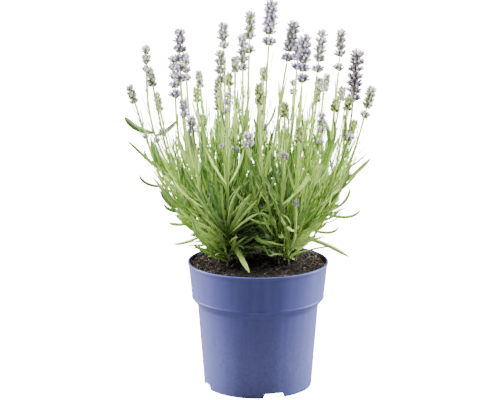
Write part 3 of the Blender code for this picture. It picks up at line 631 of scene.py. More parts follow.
# %% List the stems and the leaves that show one by one
HOLE_DEPTH, HOLE_GAP = 22.0, 0.35
AXIS_RADIUS, STALK_RADIUS, STALK_TIP_RADIUS, SPIKE_GAP = 1.9, 0.95, 0.7, 0.3
STALK_FULLNESS = 1.35
AXIS_RISE, AXIS_LEAN = (12.0, 20.0, 27.0), 0.30
STALK_SPREAD, STALK_PULL = 2.2, 0.44
BUD = {"name": "bud", "radius": 2.9, "pitch": 4.8, "reach": 3.4}
HALF = {"name": "half", "radius": 5.0, "pitch": 7.7, "reach": 5.2}
BLOOM = {"name": "bloom", "radius": 7.2, "pitch": 8.0, "reach": 5.6}
LEAFY_STEMS = (
    ("left_front", (-27, -9), (
        (-67, -38, 276, 17, HALF, 0.3), (-60, -56, 264, 17, HALF, 0.4), (-27, -55, 286, 20, HALF, 0.2))),
    ("left_outer", (-35, -2), (
        (-116, -10, 282, 16, BUD, 0.6), (-97, -22, 299, 16, BUD, 0.5), (-70, -22, 336, 47, BLOOM, 0.1))),
    ("left_side", (-32, 8), (
        (-102, 15, 317, 25, HALF, 0.0), (-94, 32, 269, 17, BUD, 0.5), (-76, 0, 309, 38, BLOOM, 0.1))),
    ("left_back", (-23, 12), (
        (-67, 25, 308, 26, HALF, 0.2), (-55, 44, 287, 15, BUD, 0.5), (-52, 14, 252, 11, BUD, 0.5))),
    ("left_inner", (-18, -2), (
        (-34, -32, 318, 29, HALF, 0.2), (-21, -8, 308, 14, BUD, 0.2), (-7, -24, 351, 39, HALF, 0.6),
        (32, -30, 344, 39, BLOOM, 0.7))),
    ("back_left", (-24, 34), (
        (-58, 66, 268, 13, BUD, 0.2), (-38, 55, 279, 30, HALF, 0.3), (-27, 74, 281, 12, BUD, 0.2))),
    ("back_middle", (-13, 24), (
        (-32, 28, 335, 25, HALF, 0.2), (-14, 8, 327, 33, HALF, 0.3), (12, 14, 357, 42, BLOOM, 0.5),
        (3, 46, 280, 18, HALF, 0.2))),
    ("back_right", (13, 38), (
        (5, 76, 286, 13, BUD, 0.2), (34, 74, 276, 14, HALF, 0.3), (38, 46, 318, 28, BLOOM, 0.5))),
    ("back_outer", (24, 29), (
        (65, 64, 281, 16, BUD, 0.6), (57, 36, 282, 22, BUD, 0.6), (79, 44, 272, 12, BUD, 0.5))),
    ("right_front", (18, -6), (
        (0, -72, 293, 18, BUD, 0.2), (-9, -50, 247, 13, HALF, 0.2), (23, -68, 276, 13, BUD, 0.3))),
    ("right_low", (27, -9), (
        (36, -48, 251, 14, BUD, 0.2), (33, -76, 195, 10, HALF, 0.0), (56, -50, 266, 20, HALF, 0.2))),
    ("right_inner", (23, 7), (
        (43, 6, 327, 47, BLOOM, 0.7), (57, -20, 334, 41, HALF, 0.65))),
    ("right_outer", (34, 0), (
        (69, -30, 273, 11, BUD, 0.4), (80, -50, 278, 12, BUD, 0.5), (89, -12, 315, 46, BLOOM, 0.25))),
    ("right_side", (31, 12), (
        (76, 18, 330, 39, HALF, 0.3), (104, 8, 279, 29, HALF, 0.5), (90, 32, 243, 13, BUD, 0.7))),
)
AXIS = -1
# stem, stalk or its axis, distance up it, bend, tip, half width, and where known its tone and spots
PLACED_LEAVES = (
    ("left_side", 0, 111, (-113, 12, 237), (-122, 8, 251), 3.2, 0.12),
    ("left_side", 0, 109, (-86, 4, 236), (-73, -6, 251), 3.3, 0.06),
    ("left_outer", 0, 97, (-107, -14, 223), (-118, -18, 234), 1.6, 0.6),
    ("left_outer", 0, 79, (-104, -14, 190), (-108, -18, 203), 1.8, 0.3),
    ("left_outer", 0, 55, (-83, -10, 172), (-88, -16, 191), 2.3, 0.45),
    ("left_side", 1, 46, (-82, 8, 159), (-87, 4, 171), 2.2, 0.4),
    ("left_outer", 0, 38, (-70, -12, 153), (-82, -16, 157), 1.7, 0.8),
    ("left_side", 1, 24, (-58, 14, 140), (-64, 16, 138), 1.9, 0.6),
    ("left_side", 1, 20, (-65, 6, 131), (-79, 2, 133), 1.7, 0.85),
    ("left_outer", AXIS, 38, (-55, -14, 128), (-59, -20, 139), 1.5),
    ("left_outer", AXIS, 36, (-42, -24, 132), (-49, -30, 141), 2.0),
    ("left_side", 2, 79, (-63, 6, 221), (-68, 2, 237), 2.3, 0.13, 0.0),
    ("left_side", 0, 67, (-92, 6, 211), (-96, 4, 229), 2.8),
    ("left_front", AXIS, 46, (-18, -27, 137), (-8, -56, 121), 3.1, 0.72, 1.0),
    ("left_front", 2, 11, (-11, -26, 171), (1, -36, 184), 2.1),
    ("left_front", 2, 23, (-14, -34, 178), (-7, -46, 190), 2.8),
    ("left_front", 2, 43, (-22, -32, 191), (-6, -46, 206), 2.0),
    ("left_outer", 1, 3, (-52, -26, 149), (-61, -36, 169), 2.8),
    ("right_side", 2, 41, (88, 2, 153), (94, -6, 168), 1.8, 0.8),
    ("right_outer", 0, 26, (70, -10, 142), (74, -14, 154), 1.7, 0.75),
    ("right_outer", 0, 14, (60, -14, 141), (84, -17, 125), 2.4, 0.85, 0.3),
    ("right_outer", 1, 64, (75, -8, 184), (79, -12, 197), 1.6),
    ("right_side", 2, 44, (81, 8, 164), (85, 4, 185), 1.7),
    ("right_outer", 1, 29, (67, -14, 158), (75, -20, 172), 1.4),
    ("right_low", 1, 70, (23, -40, 158), (20, -46, 171), 1.4),
    ("right_front", 2, 17, (11, -34, 171), (0, -42, 172), 2.0),
    ("right_front", AXIS, 38, (16, -30, 129), (9, -34, 137), 1.4),
    ("right_front", 2, 6, (11, -24, 137), (-3, -30, 146), 2.0),
    ("right_outer", 0, 94, (54, -16, 225), (50, -20, 241), 2.0),
    ("right_side", 0, 86, (73, 20, 235), (69, 22, 248), 1.8),
    ("right_outer", 0, 102, (67, -10, 237), (59, -10, 254), 2.2),
    ("right_side", 2, 108, (82, 14, 238), (79, 14, 253), 1.4),
    ("back_middle", 2, 95, (14, 16, 247), (16, 16, 261), 1.4),
    ("back_outer", 1, 68, (43, 34, 229), (40, 34, 249), 1.7),
    ("left_inner", 1, 98, (-11, -14, 243), (-11, -14, 263), 1.8),
    ("back_middle", 3, 82, (0, 14, 233), (-1, 14, 254), 1.8),
    ("back_left", 0, 95, (-53, 62, 229), (-52, 64, 246), 1.8),
)
print("stems:", len(LEAFY_STEMS), "stalks:", sum(len(stalks) for _, _, stalks in LEAFY_STEMS))

# %% [markdown]
# ## Stems and stalks as curves
# Each stem's woody foot rises from the soil, and its stalks leave it on cubic curves: first outward, then
# up to the foot of their spike. The rules are the same as the solids', so each finer stalk runs down the
# middle of its solid.

# %% Work out the centrelines
def unit(vector):
    return vector / np.linalg.norm(vector)


def bezier(start, start_pull, end_pull, end, count):
    """Points along a cubic curve, both ends included."""
    t = np.linspace(0, 1, count)[:, None]
    return ((1 - t) ** 3 * start + 3 * t * (1 - t) ** 2 * start_pull
            + 3 * t ** 2 * (1 - t) * end_pull + t ** 3 * end)


def point_along(line, distance):
    """The point and direction at a distance along a line of points."""
    steps = np.linalg.norm(np.diff(line, axis=0), axis=1)
    for start, step, piece in zip(line, steps, np.diff(line, axis=0)):
        if distance <= step:
            return start + piece * distance / step, piece / step
        distance -= step
    return line[-1], unit(line[-1] - line[-2])


def line_length(line):
    return float(np.linalg.norm(np.diff(line, axis=0), axis=1).sum())


SOLID_POINTS, FINE_POINTS = 6, 26


def plan_stem(name, hole, stalks):
    """The woody axis of a leafy stem, its stalks' centrelines as in the solids and finer, and its spikes."""
    root = np.array([hole[0], hole[1], SOIL_TOP - HOLE_DEPTH + HOLE_GAP], float)
    collar = np.array([hole[0], hole[1], SOIL_TOP + 2.0], float)
    tips = np.array([stalk[:3] for stalk in stalks], float)
    aim = unit(tips.mean(axis=0) - collar)
    crown = collar + np.array([aim[0], aim[1], 0]) * AXIS_RISE[-1] * AXIS_LEAN + [0, 0, AXIS_RISE[-1]]
    axis = np.array([root, collar, (collar + crown) / 2 - aim * [1.2, 1.2, 0], crown])
    order = sorted(range(len(stalks)), key=lambda index: stalks[index][2])
    lines, fine, spikes = {}, {}, {}
    for rank, index in enumerate(order):
        x, y, z, length, stage, lean = stalks[index]
        tip = np.array([x, y, z], float)
        rise = AXIS_RISE[min(rank, len(AXIS_RISE) - 1)]
        start, _ = point_along(axis, HOLE_DEPTH - HOLE_GAP + 2.0 + rise - 1.5)
        leaving = unit((tip - start) * [STALK_SPREAD, STALK_SPREAD, 1])
        along = unit((tip - start) * [lean, lean, 1])
        foot = tip - along * length
        pull = np.linalg.norm(foot - start) * STALK_PULL
        handles = (start, start + leaving * pull, foot - along * pull, foot - along * SPIKE_GAP)
        lines[index] = bezier(*handles, SOLID_POINTS)
        fine[index] = bezier(*handles, FINE_POINTS)
        spikes[index] = (foot, along, length, stage)
    indices = sorted(lines)
    return {"name": name, "axis": axis, "stalks": [lines[k] for k in indices],
            "fine": [fine[k] for k in indices],
            "spikes": [spikes[k] for k in indices]}


stems = [plan_stem(*row) for row in LEAFY_STEMS]
print("longest stalk in mm:", round(max(line_length(line) for stem in stems for line in stem["stalks"])))

# %% [markdown]
# ## Where the leaves go
# Lavender's leaves are narrow, in opposite pairs, each pair a quarter turn on from the last, and they bend
# up along the stalk. Every leaf that the solids have is laid again in the same place, by the same seeded
# rule. A second pass then fills in what the solids leave out: the pairs between, the short leaves in the
# axils and the low tufts. A leaf that would run into another stem is turned a little further, and left out
# if it never comes clear.

# %% Lay the solids' leaves again
LEAF_HALF_WIDTH, LEAF_CLEARANCE, LEAF_SEED = 2.2, 0.5, 7
CROWN_LEAVES, PAIR_STEP, FIRST_PAIR, LEAFY_LENGTH = 2, 40.0, 14.0, 86.0
BENDS = (0, 16, -16, 32, -32, 48, -48, 64, -64)
DEPTH_SHIFTS = (0, -4, 4, -8, 8, -13, 13, -18, 18)
MASS_RADIUS, MASS_FLARE = 68.0, 0.36
NEAR = 12.0
LEAF_SLIMNESS = 0.9


def leaf_line(line, distance, turn, length, first_angle, last_angle, droop, count=7):
    """The midrib and the direction across the blade of a leaf that leaves a stalk at a turn about it."""
    root, along = point_along(line, distance)
    side = unit(np.cross(along, [0.0, 1.0, 0.0]))
    front = np.cross(side, along)
    out = math.cos(math.radians(turn)) * side + math.sin(math.radians(turn)) * front
    points = [root]
    for step in range(1, count):
        share = step / (count - 1)
        angle = math.radians(first_angle + (last_angle - first_angle) * share)
        direction = math.cos(angle) * along + math.sin(angle) * out - np.array([0, 0, droop * share])
        points.append(points[-1] + unit(direction) * length / (count - 1))
    return np.array(points), unit(np.cross(along, out))


def placed_leaf_line(line, distance, bend, tip, shift):
    """The midrib of a leaf with a known bend and tip, moved in depth by shift, and the direction across."""
    root, along = point_along(line, distance)
    bend = np.array([bend[0], bend[1] + shift * 0.6, bend[2]], float)
    tip = np.array([tip[0], tip[1] + shift, tip[2]], float)
    midrib = bezier(root, (root + 2 * bend) / 3, (tip + 2 * bend) / 3, tip, 7)
    across = np.cross(tangents(midrib), [0.0, -0.8, 0.6])
    return midrib, across / np.linalg.norm(across, axis=1)[:, None]


def tangents(line):
    """The direction at each point of a line."""
    steps = np.gradient(line, axis=0)
    return steps / np.linalg.norm(steps, axis=1)[:, None]


def leaf_half_width(share):
    """Half the blade's width at a share of its length, against the widest."""
    return max(0.15, math.sin(math.pi * min(1.0, 0.12 + 0.83 * share)) ** 0.6)


class Room:
    """What already stands round the pot, so that a new leaf can be bent clear of the other stems."""

    def __init__(self):
        self.points, self.radii, self.owners = np.empty((0, 3)), np.empty(0), np.empty(0, dtype="U24")

    def add(self, points, radii, owner):
        self.points = np.vstack([self.points, points])
        self.radii = np.concatenate([self.radii, radii])
        self.owners = np.concatenate([self.owners, np.full(len(points), owner, dtype="U24")])

    def add_line(self, line, radius, owner, spacing=3.0):
        count = max(2, int(line_length(line) / spacing))
        samples = [point_along(line, line_length(line) * i / (count - 1))[0] for i in range(count)]
        self.add(samples, [radius] * count, owner)

    def clearance(self, points, radii, owner):
        """The least gap to anything of another owner that is near."""
        low, high = points.min(axis=0) - NEAR, points.max(axis=0) + NEAR
        close = np.all((self.points > low) & (self.points < high), axis=1) & (self.owners != owner)
        if not close.any():
            return NEAR
        gaps = np.linalg.norm(points[:, None, :] - self.points[close][None, :, :],
                              axis=2) - self.radii[close][None, :]
        return float((gaps - np.asarray(radii)[:, None]).min())


def clear_of_pot(points):
    """Whether a leaf stays over the soil and the pot's rim, or outside the pot."""
    for x, y, z in points:
        radius = math.hypot(x, y)
        over_soil = radius < RIM_RADIUS - 5.0 and z > soil_height(x, y) + 3.0
        over_rim = z > POT_HEIGHT + 2.5
        if not (over_soil or over_rim or radius > RIM_RADIUS + 4.0):
            return False
    return True


def in_the_mass(point):
    """Whether a point is inside the bowl that the leaves fill together."""
    x, y, z = point
    return math.hypot(x, y) < MASS_RADIUS + MASS_FLARE * (z - POT_HEIGHT)


def leaf_samples(midrib, half_width):
    count = 13
    points = [point_along(midrib, line_length(midrib) * i / (count - 1))[0] for i in range(count)]
    radii = [half_width * leaf_half_width(i / (count - 1)) for i in range(count)]
    return np.array(points[1:]), radii[1:]


def wanted_leaves(stem, draw):
    """Low leaves round a stem's axis, then opposite pairs up each stalk, each a quarter turn further."""
    turn = draw.uniform(0, 360)
    for k in range(CROWN_LEAVES):
        rise = HOLE_DEPTH + 7.0 + 15.0 * k / CROWN_LEAVES
        yield (stem["axis"], rise, turn + 360 * k / CROWN_LEAVES + draw.uniform(-20, 20),
               draw.uniform(28, 40),
               draw.uniform(55, 70), draw.uniform(55, 85), draw.uniform(0.0, 0.3), 2.0)
    for line in stem["stalks"]:
        leafy = min(LEAFY_LENGTH, 0.62 * line_length(line))
        turn = draw.uniform(0, 180)
        distance = FIRST_PAIR + draw.uniform(0, 12)
        while distance < leafy:
            share = distance / LEAFY_LENGTH
            for opposite in (0, 180):
                yield (line, distance + draw.uniform(-1, 1), turn + opposite + draw.uniform(-15, 15),
                       draw.uniform(36, 50), 60 - 26 * share + draw.uniform(-8, 8),
                       26 - 16 * share + draw.uniform(-8, 8), draw.uniform(0.0, 0.25) * (1 - share),
                       LEAF_HALF_WIDTH)
            turn += 90
            distance += PAIR_STEP


tone_draw = random.Random(5)
room = Room()
for stem in stems:
    room.add_line(stem["axis"], AXIS_RADIUS, stem["name"])
    for line in stem["stalks"]:
        room.add_line(line, STALK_RADIUS, stem["name"])
    for index, (foot, along, length, stage) in enumerate(stem["spikes"]):
        room.add_line(np.array([foot, foot + along * length]), stage["radius"], f"{stem['name']}_{index}")
leaves = {stem["name"]: [] for stem in stems}


def leaf_tone_and_shade(midrib, draw):
    """How light a leaf is painted, from 0 to 1: lighter high up, where it is young and in the light, and at
    the sides; darker, as painted shade, inside, behind and low in the middle.
    """
    x, y, z = midrib[len(midrib) // 2]
    young = min(1.0, max(0.0, (z - 165) / 85))
    behind = min(1.0, max(0.0, (y + 10) / 50))
    beside = min(1.0, abs(x + 9) / 55)
    chance = draw.betavariate(0.5, 0.5)
    low = min(1.0, max(0.0, (175 - z) / 30)) * (1.0 - behind)
    # Painted light and shade: lighter high up and at the sides, darker behind and low in the middle.
    lift = 0.48 * young + 0.38 * beside + low * (1.1 * beside - 0.35) - 0.2 * behind
    return min(0.92, max(0.0, 0.82 * chance - 0.22 + lift))


def lay(name, tries, half_width, clearance=LEAF_CLEARANCE, tone=None, spots=0.0):
    """Lays the first of several places for a leaf that is clear of the pot and of the other stems."""
    for midrib, across in tries:
        points, radii = leaf_samples(midrib, half_width)
        if clear_of_pot(points) and room.clearance(points, radii, name) > clearance:
            own_tone = leaf_tone_and_shade(midrib, tone_draw) if tone is None else tone
            leaves[name].append((midrib, across, half_width * LEAF_SLIMNESS, own_tone, spots))
            room.add(points, radii, name)
            return


by_name = {stem["name"]: stem for stem in stems}


def line_of(stem, stalk):
    """The line of a stem that a leaf grows from: one stalk, or the woody axis."""
    return stem["axis"] if stalk == AXIS else stem["stalks"][stalk]


def lay_placed(rows, clearance):
    """Lays leaves whose bend and tip are known."""
    for name, stalk, distance, bend, tip, half_width, *finish in rows:
        line = line_of(by_name[name], stalk)
        tries = [placed_leaf_line(line, distance, bend, tip, shift) for shift in DEPTH_SHIFTS]
        lay(name, tries, half_width, clearance, *finish)


lay_placed(PLACED_LEAVES, LEAF_CLEARANCE)
draw = random.Random(LEAF_SEED)
for stem in stems:
    for line, distance, turn, length, first, last, droop, half_width in wanted_leaves(stem, draw):
        tries = [leaf_line(line, distance, turn + bend, length, first, last, droop) for bend in BENDS]
        lay(stem["name"], [leaf for leaf in tries if in_the_mass(leaf[0][-1])], half_width)
print("leaves that the solids have:", sum(len(own) for own in leaves.values()))

# %% [markdown]
# ## Leaves read from the picture
# The leaves that show at the front were read from the picture: the pixels of the root, the middle
# and the tip, the depth of the middle and the tip, half the blade's width, and how light it looks. The
# camera turns a pixel and a depth into a place, and a leaf grows from the line that shows nearest to its
# root. The closing leaves, written in millimetres, fill holes in the mass.
# The tone of each leaf carries the light and shade seen there, painted into its colour.

# %% Turn pixels and depths into leaves
PICTURE_WIDTH, PICTURE_HEIGHT = 500, 400
FOCAL = PICTURE_WIDTH * LENS / SENSOR_WIDTH
EYE = np.array(CAMERA_PLACE)
RIGHT = np.array([1.0, 0.0, 0.0])
AHEAD = np.array([0.0, math.cos(math.radians(CAMERA_PITCH)), -math.sin(math.radians(CAMERA_PITCH))])
UPWARD = np.array([0.0, math.sin(math.radians(CAMERA_PITCH)), math.cos(math.radians(CAMERA_PITCH))])
AXIS_START, STALK_START, END_GAP = HOLE_DEPTH + 3.0, 2.0, 0.5
STALK_HANDICAP, FRONT_DEPTH, DEPTH_PER_PIXEL = 0.8, -10.0, 12.0
MIDDLE_FORWARD, TIP_FORWARD = 3.0, 5.0
WIDE, WIDE_SHARE = 1.9, 0.88
PALE, PALE_SHARE, LOW_TIP = 0.3, 0.62, 190.0
MID_TONE, TONE_SPREAD = 0.36, 1.25
ANY_STALK = None


def pixel_of(place):
    """Where the camera shows a place, in pixels of the picture."""
    gap = place - EYE
    depth = gap @ AHEAD
    return PICTURE_WIDTH / 2 + FOCAL * gap[0] / depth, PICTURE_HEIGHT / 2 - FOCAL * (gap @ UPWARD) / depth


def seen_at(x, y, depth):
    """The place at a depth, its y in millimetres, that the camera shows at a pixel."""
    ray = AHEAD + RIGHT * (x - PICTURE_WIDTH / 2) / FOCAL + UPWARD * (PICTURE_HEIGHT / 2 - y) / FOCAL
    return EYE + ray * ((depth - EYE[1]) / ray[1])


def sights():
    """Every millimetre of every line that a leaf can grow from, with the pixel that shows it."""
    for stem in stems:
        for stalk in range(AXIS, len(stem["stalks"])):
            line = line_of(stem, stalk)
            for distance in np.arange(AXIS_START if stalk == AXIS else STALK_START,
                                      line_length(line) - END_GAP):
                place, _ = point_along(line, distance)
                yield stem["name"], stalk, distance, place, pixel_of(place)


def nearest_root(x, y, name):
    """The sight nearest to a pixel, on the named stem or, without a name, on any stalk, front ones first."""
    def miss(sight):
        _, stalk, _, place, shown = sight
        behind = max(0, (place[1] - FRONT_DEPTH) / DEPTH_PER_PIXEL)
        return math.hypot(shown[0] - x, shown[1] - y) + (STALK_HANDICAP * (stalk != AXIS) if name else behind)
    return min((sight for sight in all_sights if (sight[0] == name if name else sight[1] != AXIS)), key=miss)


def spread(tone):
    """A tone moved away from the middle one."""
    return round(min(0.95, max(0.02, MID_TONE + (tone - MID_TONE) * TONE_SPREAD)), 2)


def tone_with_seen_light(name, tone, top):
    """The tone that paints a leaf as light as read, light and shade included: pale ones held back, the low
    left crown painted lighter.
    """
    if tone > PALE:
        tone = round(PALE + (tone - PALE) * PALE_SHARE, 2)
    # Painted light: the low left crown is painted lighter.
    if name in ("left_front", "left_outer") and top < LOW_TIP:
        tone = min(0.95, tone * 1.3 + 0.05)
    return spread(round(tone, 2))


def seen_leaf(name, row):
    """A leaf's stem, line, distance up it, bend and tip in whole millimetres, half width and tone."""
    *seen, half_width, tone = row
    name, stalk, distance, root, _ = nearest_root(*seen[:2], name)
    depths = seen[6:] or (root[1] - MIDDLE_FORWARD, root[1] - TIP_FORWARD)
    middle, tip = seen_at(*seen[2:4], depths[0]), seen_at(*seen[4:6], depths[1])
    bend, tip = np.round(2 * middle - 0.5 * (root + tip)), np.round(tip)
    if half_width > WIDE:
        half_width = round(half_width * WIDE_SHARE, 1)
    return name, stalk, distance, bend, tip, half_width, tone_with_seen_light(name, tone, tip[2])


all_sights = list(sights())
# root, middle and tip in pixels, depths of middle and tip unless the stalk gives them, half width, tone
SEEN_LEAVES = (
    ("left_front", (
        (225, 249, 204, 243, 191, 217, -40, -48, 2.3, 0.34),
        (225, 247, 208, 240, 197, 224, -46, -54, 1.6, 0.66),
        (226, 240, 211, 230, 195, 222, -42, -50, 2.5, 0.62),
        (226, 238, 213, 225, 201, 216, -48, -58, 1.3, 0.86),
        (226, 236, 207, 217, 188, 197, -40, -46, 2, 0.52),
        (225, 235, 211, 214, 196, 187, -44, -50, 1.7, 0.32),
        (226, 235, 208, 211, 191, 188, -50, -58, 1.2, 0.84),
        (225, 233, 214, 212, 203, 190, -48, -55, 1.6, 0.58),
        (225, 233, 217, 207, 209, 184, -44, -50, 1.8, 0.38),
        (226, 232, 220, 204, 216, 178, -46, -52, 1.8, 0.5),
        (226, 231, 223, 208, 222, 184, -50, -57, 1.3, 0.78),
        (226, 230, 230, 206, 240, 187, -52, -60, 1, 0.95),
        (227, 231, 231, 210, 236, 192, -46, -52, 1.6, 0.42),
        (228, 233, 238, 212, 250, 194, -48, -56, 2.9, 0.74),
        (228, 234, 242, 216, 258, 199, -46, -52, 1.7, 0.5),
        (229, 236, 243, 222, 259, 213, -48, -54, 1.3, 0.7),
        (227, 236, 214, 200, 207, 170, -36, -40, 1.7, 0.34),
        (227, 228, 246, 208, 254, 201, -40, -44, 1.8, 0.3), (229, 246, 232, 239, 238, 237, -34, -42, 2, 0.76),
        (226, 246, 221, 240, 212, 238, -34, -44, 1.4, 0.45),
        (226, 251, 209, 252, 193, 243, -34, -40, 1, 0.45), (226, 250, 211, 248, 201, 239, -28, -32, 1.7, 0.2),
        (233, 250, 238, 245, 244, 249, -30, -38, 1.3, 0.25),)),
    ("left_outer", (
        (221, 245, 205, 238, 188, 235, -16, -20, 1.5, 0.3),
        (221, 236, 196, 228, 180, 225, -18, -22, 1.3, 0.35),
        (221, 233, 197, 215, 181, 200, -20, -24, 2, 0.55), (221, 232, 199, 205, 184, 176, -20, -24, 2, 0.3),
        )),
    ("left_inner", (
        (238, 228, 250, 205, 256, 182, -20, -22, 2.4, 0.12),
        (239, 228, 246, 200, 248, 172, -18, -20, 2.4, 0.2),
        (240, 232, 254, 217, 262, 204, -24, -26, 2.2, 0.15),)),
    ("back_middle", (
        (246, 228, 256, 200, 260, 172, 10, 8, 2.6, 0.12), (246, 230, 262, 214, 272, 196, 6, 4, 2.6, 0.1),
        (245, 232, 260, 226, 272, 216, 4, 0, 2.4, 0.1),)),
    ("right_front", (
        (276, 240, 268, 222, 263, 202, -14, -16, 2.5, 0.12),
        (276, 240, 272, 214, 270, 188, -16, -18, 2.5, 0.18),
        (276, 242, 264, 232, 255, 221, -18, -22, 2.2, 0.16),
        (277, 238, 279, 208, 280, 180, -26, -30, 2.4, 0.2),)),
    ("right_low", (
        (287, 240, 287, 208, 288, 180, -26, -30, 2.4, 0.22),)),
    ("right_front", (
        (277, 240, 270, 229, 263, 217, -44, -50, 2.2, 0.55),
        (277, 238, 276, 227, 273, 216, -40, -44, 1.5, 0.66),
        (277, 246, 266, 243, 256, 236, -40, -48, 1.6, 0.6),
        (278, 250, 270, 255, 264, 245, -32, -34, 1.2, 0.5),)),
    ("right_low", (
        (288, 246, 276, 243, 262, 240, -42, -50, 1.3, 0.72),
        (288, 243, 296, 240, 294, 232, -44, -50, 2.1, 0.74),
        (287, 241, 284, 237, 281, 231, -46, -52, 1.3, 0.66),
        (288, 238, 303, 232, 322, 222, -40, -46, 1.9, 0.84),
        (288, 238, 301, 220, 312, 203, -38, -42, 1.6, 0.52),
        (288, 238, 309, 218, 324, 199, -34, -38, 1.6, 0.68),
        (288, 236, 298, 222, 304, 206, -44, -50, 1.6, 0.4),
        (288, 236, 290, 222, 281, 214, -52, -58, 0.9, 0.85),
        (287, 234, 283, 212, 279, 192, -40, -46, 1.9, 0.28),)),
    ("right_outer", (
        (296, 240, 314, 228, 328, 214, -24, -30, 1.7, 0.76),
        (296, 240, 308, 212, 317, 186, -22, -26, 1.8, 0.46),
        (296, 242, 316, 238, 321, 241, -12, -16, 1.2, 0.7),)),
    (ANY_STALK, (
        (194, 163, 192, 147, 189, 129, 1.5, 0.2), (193, 152, 195, 140, 193, 122, 1, 0.35),
        (200, 178, 203, 155, 201, 130, 1.3, 0.38), (211, 192, 209, 176, 206, 161, 1.4, 0.25),
        (242, 160, 239, 147, 233, 133, 1.9, 0.18), (240, 150, 230, 138, 218, 124, 1.2, 0.3),
        (226, 140, 225, 125, 221, 109, 1.1, 0.3), (193, 197, 189, 185, 185, 173, 1.8, 0.85),
        (221, 200, 220, 180, 219, 158, 2, 0.3), (223, 193, 225, 175, 227, 152, 0.9, 0.92),
        (289, 152, 287, 140, 285, 126, 2, 0.5), (290, 178, 289, 160, 287, 145, 2.3, 0.55),
        (303, 160, 303, 145, 300, 129, 1.4, 0.3), (299, 138, 302, 126, 301, 113, 1.2, 0.38),
        (326, 160, 320, 147, 313, 133, 1.8, 0.25), (331, 152, 329, 140, 327, 126, 1.6, 0.32),
        (334, 148, 335, 134, 333, 118, 1.4, 0.25), (344, 140, 346, 127, 344, 114, 1.2, 0.38),
        (310, 184, 311, 172, 310, 158, 1.9, 0.62), (322, 193, 324, 182, 321, 171, 2.2, 0.2),
        (263, 182, 258, 166, 252, 150, 2.6, 0.4), (257, 142, 257, 132, 254, 117, 1.2, 0.5),
        (275, 190, 274, 170, 272, 152, 1.8, 0.25),)),
    ("left_side", (
        (169, 188, 158, 165, 151, 134, 6, 4, 2.3, 0.32), (171, 190, 163, 167, 155, 143, 2, 0, 2.6, 0.42),
        (160, 176, 151, 163, 144, 149, 6, 4, 1.7, 0.25),)),
    ("left_outer", (
        (171, 194, 161, 187, 152, 176, -12, -14, 1.2, 0.3),
        (183, 211, 173, 201, 163, 193, -14, -18, 2.6, 0.62),
        (183, 213, 168, 204, 159, 187, -18, -20, 1.2, 0.4),)),
    ("left_side", (
        (187, 197, 184, 178, 182, 160, -4, -6, 1.9, 0.12),)),
    ("left_outer", (
        (184, 206, 177, 184, 174, 157, -22, -24, 1.8, 0.82),
        (190, 216, 183, 205, 176, 190, -26, -30, 1.9, 0.7),)),
    ("right_outer", (
        (322, 217, 341, 205, 350, 187, -6, -8, 1.3, 0.55), (318, 228, 332, 221, 340, 210, -10, -12, 0.8, 0.5),
        (318, 216, 328, 209, 335, 203, -18, -20, 2, 0.76),
        (316, 214, 322, 200, 325, 186, -16, -18, 2.3, 0.14),
        (308, 234, 319, 228, 328, 221, -20, -24, 2, 0.82),)),
    ("back_middle", (
        (247, 244, 254, 236, 261, 227, 8, 4, 2.6, 0.1),)),
    ("left_inner", (
        (239, 240, 248, 237, 258, 234, -12, -16, 2.4, 0.12),)),
    ("right_front", (
        (276, 244, 263, 238, 251, 232, -8, -10, 2.4, 0.1),)),
    ("back_middle", (
        (246, 236, 254, 222, 257, 206, 2, -2, 2.4, 0.12),)),
    ("right_front", (
        (277, 240, 270, 216, 266, 194, -10, -12, 2.3, 0.15),)),
)
# stem, stalk or its axis, distance up it, the bend, the tip, half width, tone
# The back and middle leaves here are toned dark as painted shade.
CLOSING_LEAVES = (
    ("back_right", AXIS, 25, (6, 34, 131), (-2, 26, 141), 2.6, spread(0.12)),
    ("back_right", AXIS, 25, (14, 26, 131), (16, 14, 143), 2.6, spread(0.14)),
    ("back_outer", AXIS, 25, (16, 24, 131), (8, 18, 142), 2.6, spread(0.1)),
    ("back_middle", AXIS, 26, (-4, 26, 131), (6, 22, 143), 2.6, spread(0.12)),
    ("back_middle", AXIS, 48, (0, 26, 165), (6, 28, 192), 2.4, spread(0.12)),
    ("back_middle", AXIS, 44, (-6, 26, 150), (4, 30, 176), 2.4, spread(0.2)),
    ("back_right", AXIS, 46, (6, 36, 160), (3, 32, 186), 2.4, spread(0.16)),
    ("left_front", AXIS, 30, (-30, -30, 138), (-36, -38, 156), 1.9, 0.6),
    ("left_front", AXIS, 28, (-24, -28, 134), (-20, -38, 152), 1.9, 0.55),
    ("left_front", AXIS, 29, (-33, -28, 134), (-46, -34, 144), 1.8, 0.65),
    ("left_front", AXIS, 27, (-28, -26, 130), (-30, -40, 140), 2.2, 0.5),
    ("left_front", AXIS, 26, (-36, -20, 128), (-50, -26, 132), 1.8, 0.6),
    ("left_front", AXIS, 32, (-22, -32, 142), (-10, -38, 150), 1.8, 0.5),
    ("left_back", 0, 50, (-52, 18, 180), (-58, 20, 208), 2.4, 0.5),
    ("back_middle", AXIS, 25, (-17, 27, 127), (-21, 26, 139), 2.6, 0.06),
    ("back_middle", 3, 45, (-4, 40, 176), (-5, 44, 200), 2.2, 0.2),
    ("left_side", 1, 58, (-66, 6, 178), (-73, 6, 206), 2.0, 0.5),
    ("back_right", 0, 62, (12, 34, 176), (14, 34, 202), 2.2, 0.3),
    ("left_back", 1, 52, (-56, 30, 190), (-66, 32, 212), 2.2, 0.4),
    ("left_back", 1, 46, (-48, 34, 180), (-53, 36, 206), 2.2, 0.3),
    ("left_inner", AXIS, 46, (-8, 2, 152), (-10, 6, 180), 2.4, 0.12),
    ("back_middle", AXIS, 24, (-10, 26, 128), (-14, 24, 142), 2.6, 0.06),
)
front_leaves = [seen_leaf(name, row) for name, own in SEEN_LEAVES for row in own] + list(CLOSING_LEAVES)
print("leaves read from the picture:", len(front_leaves) - len(CLOSING_LEAVES), "closing:",
      len(CLOSING_LEAVES))

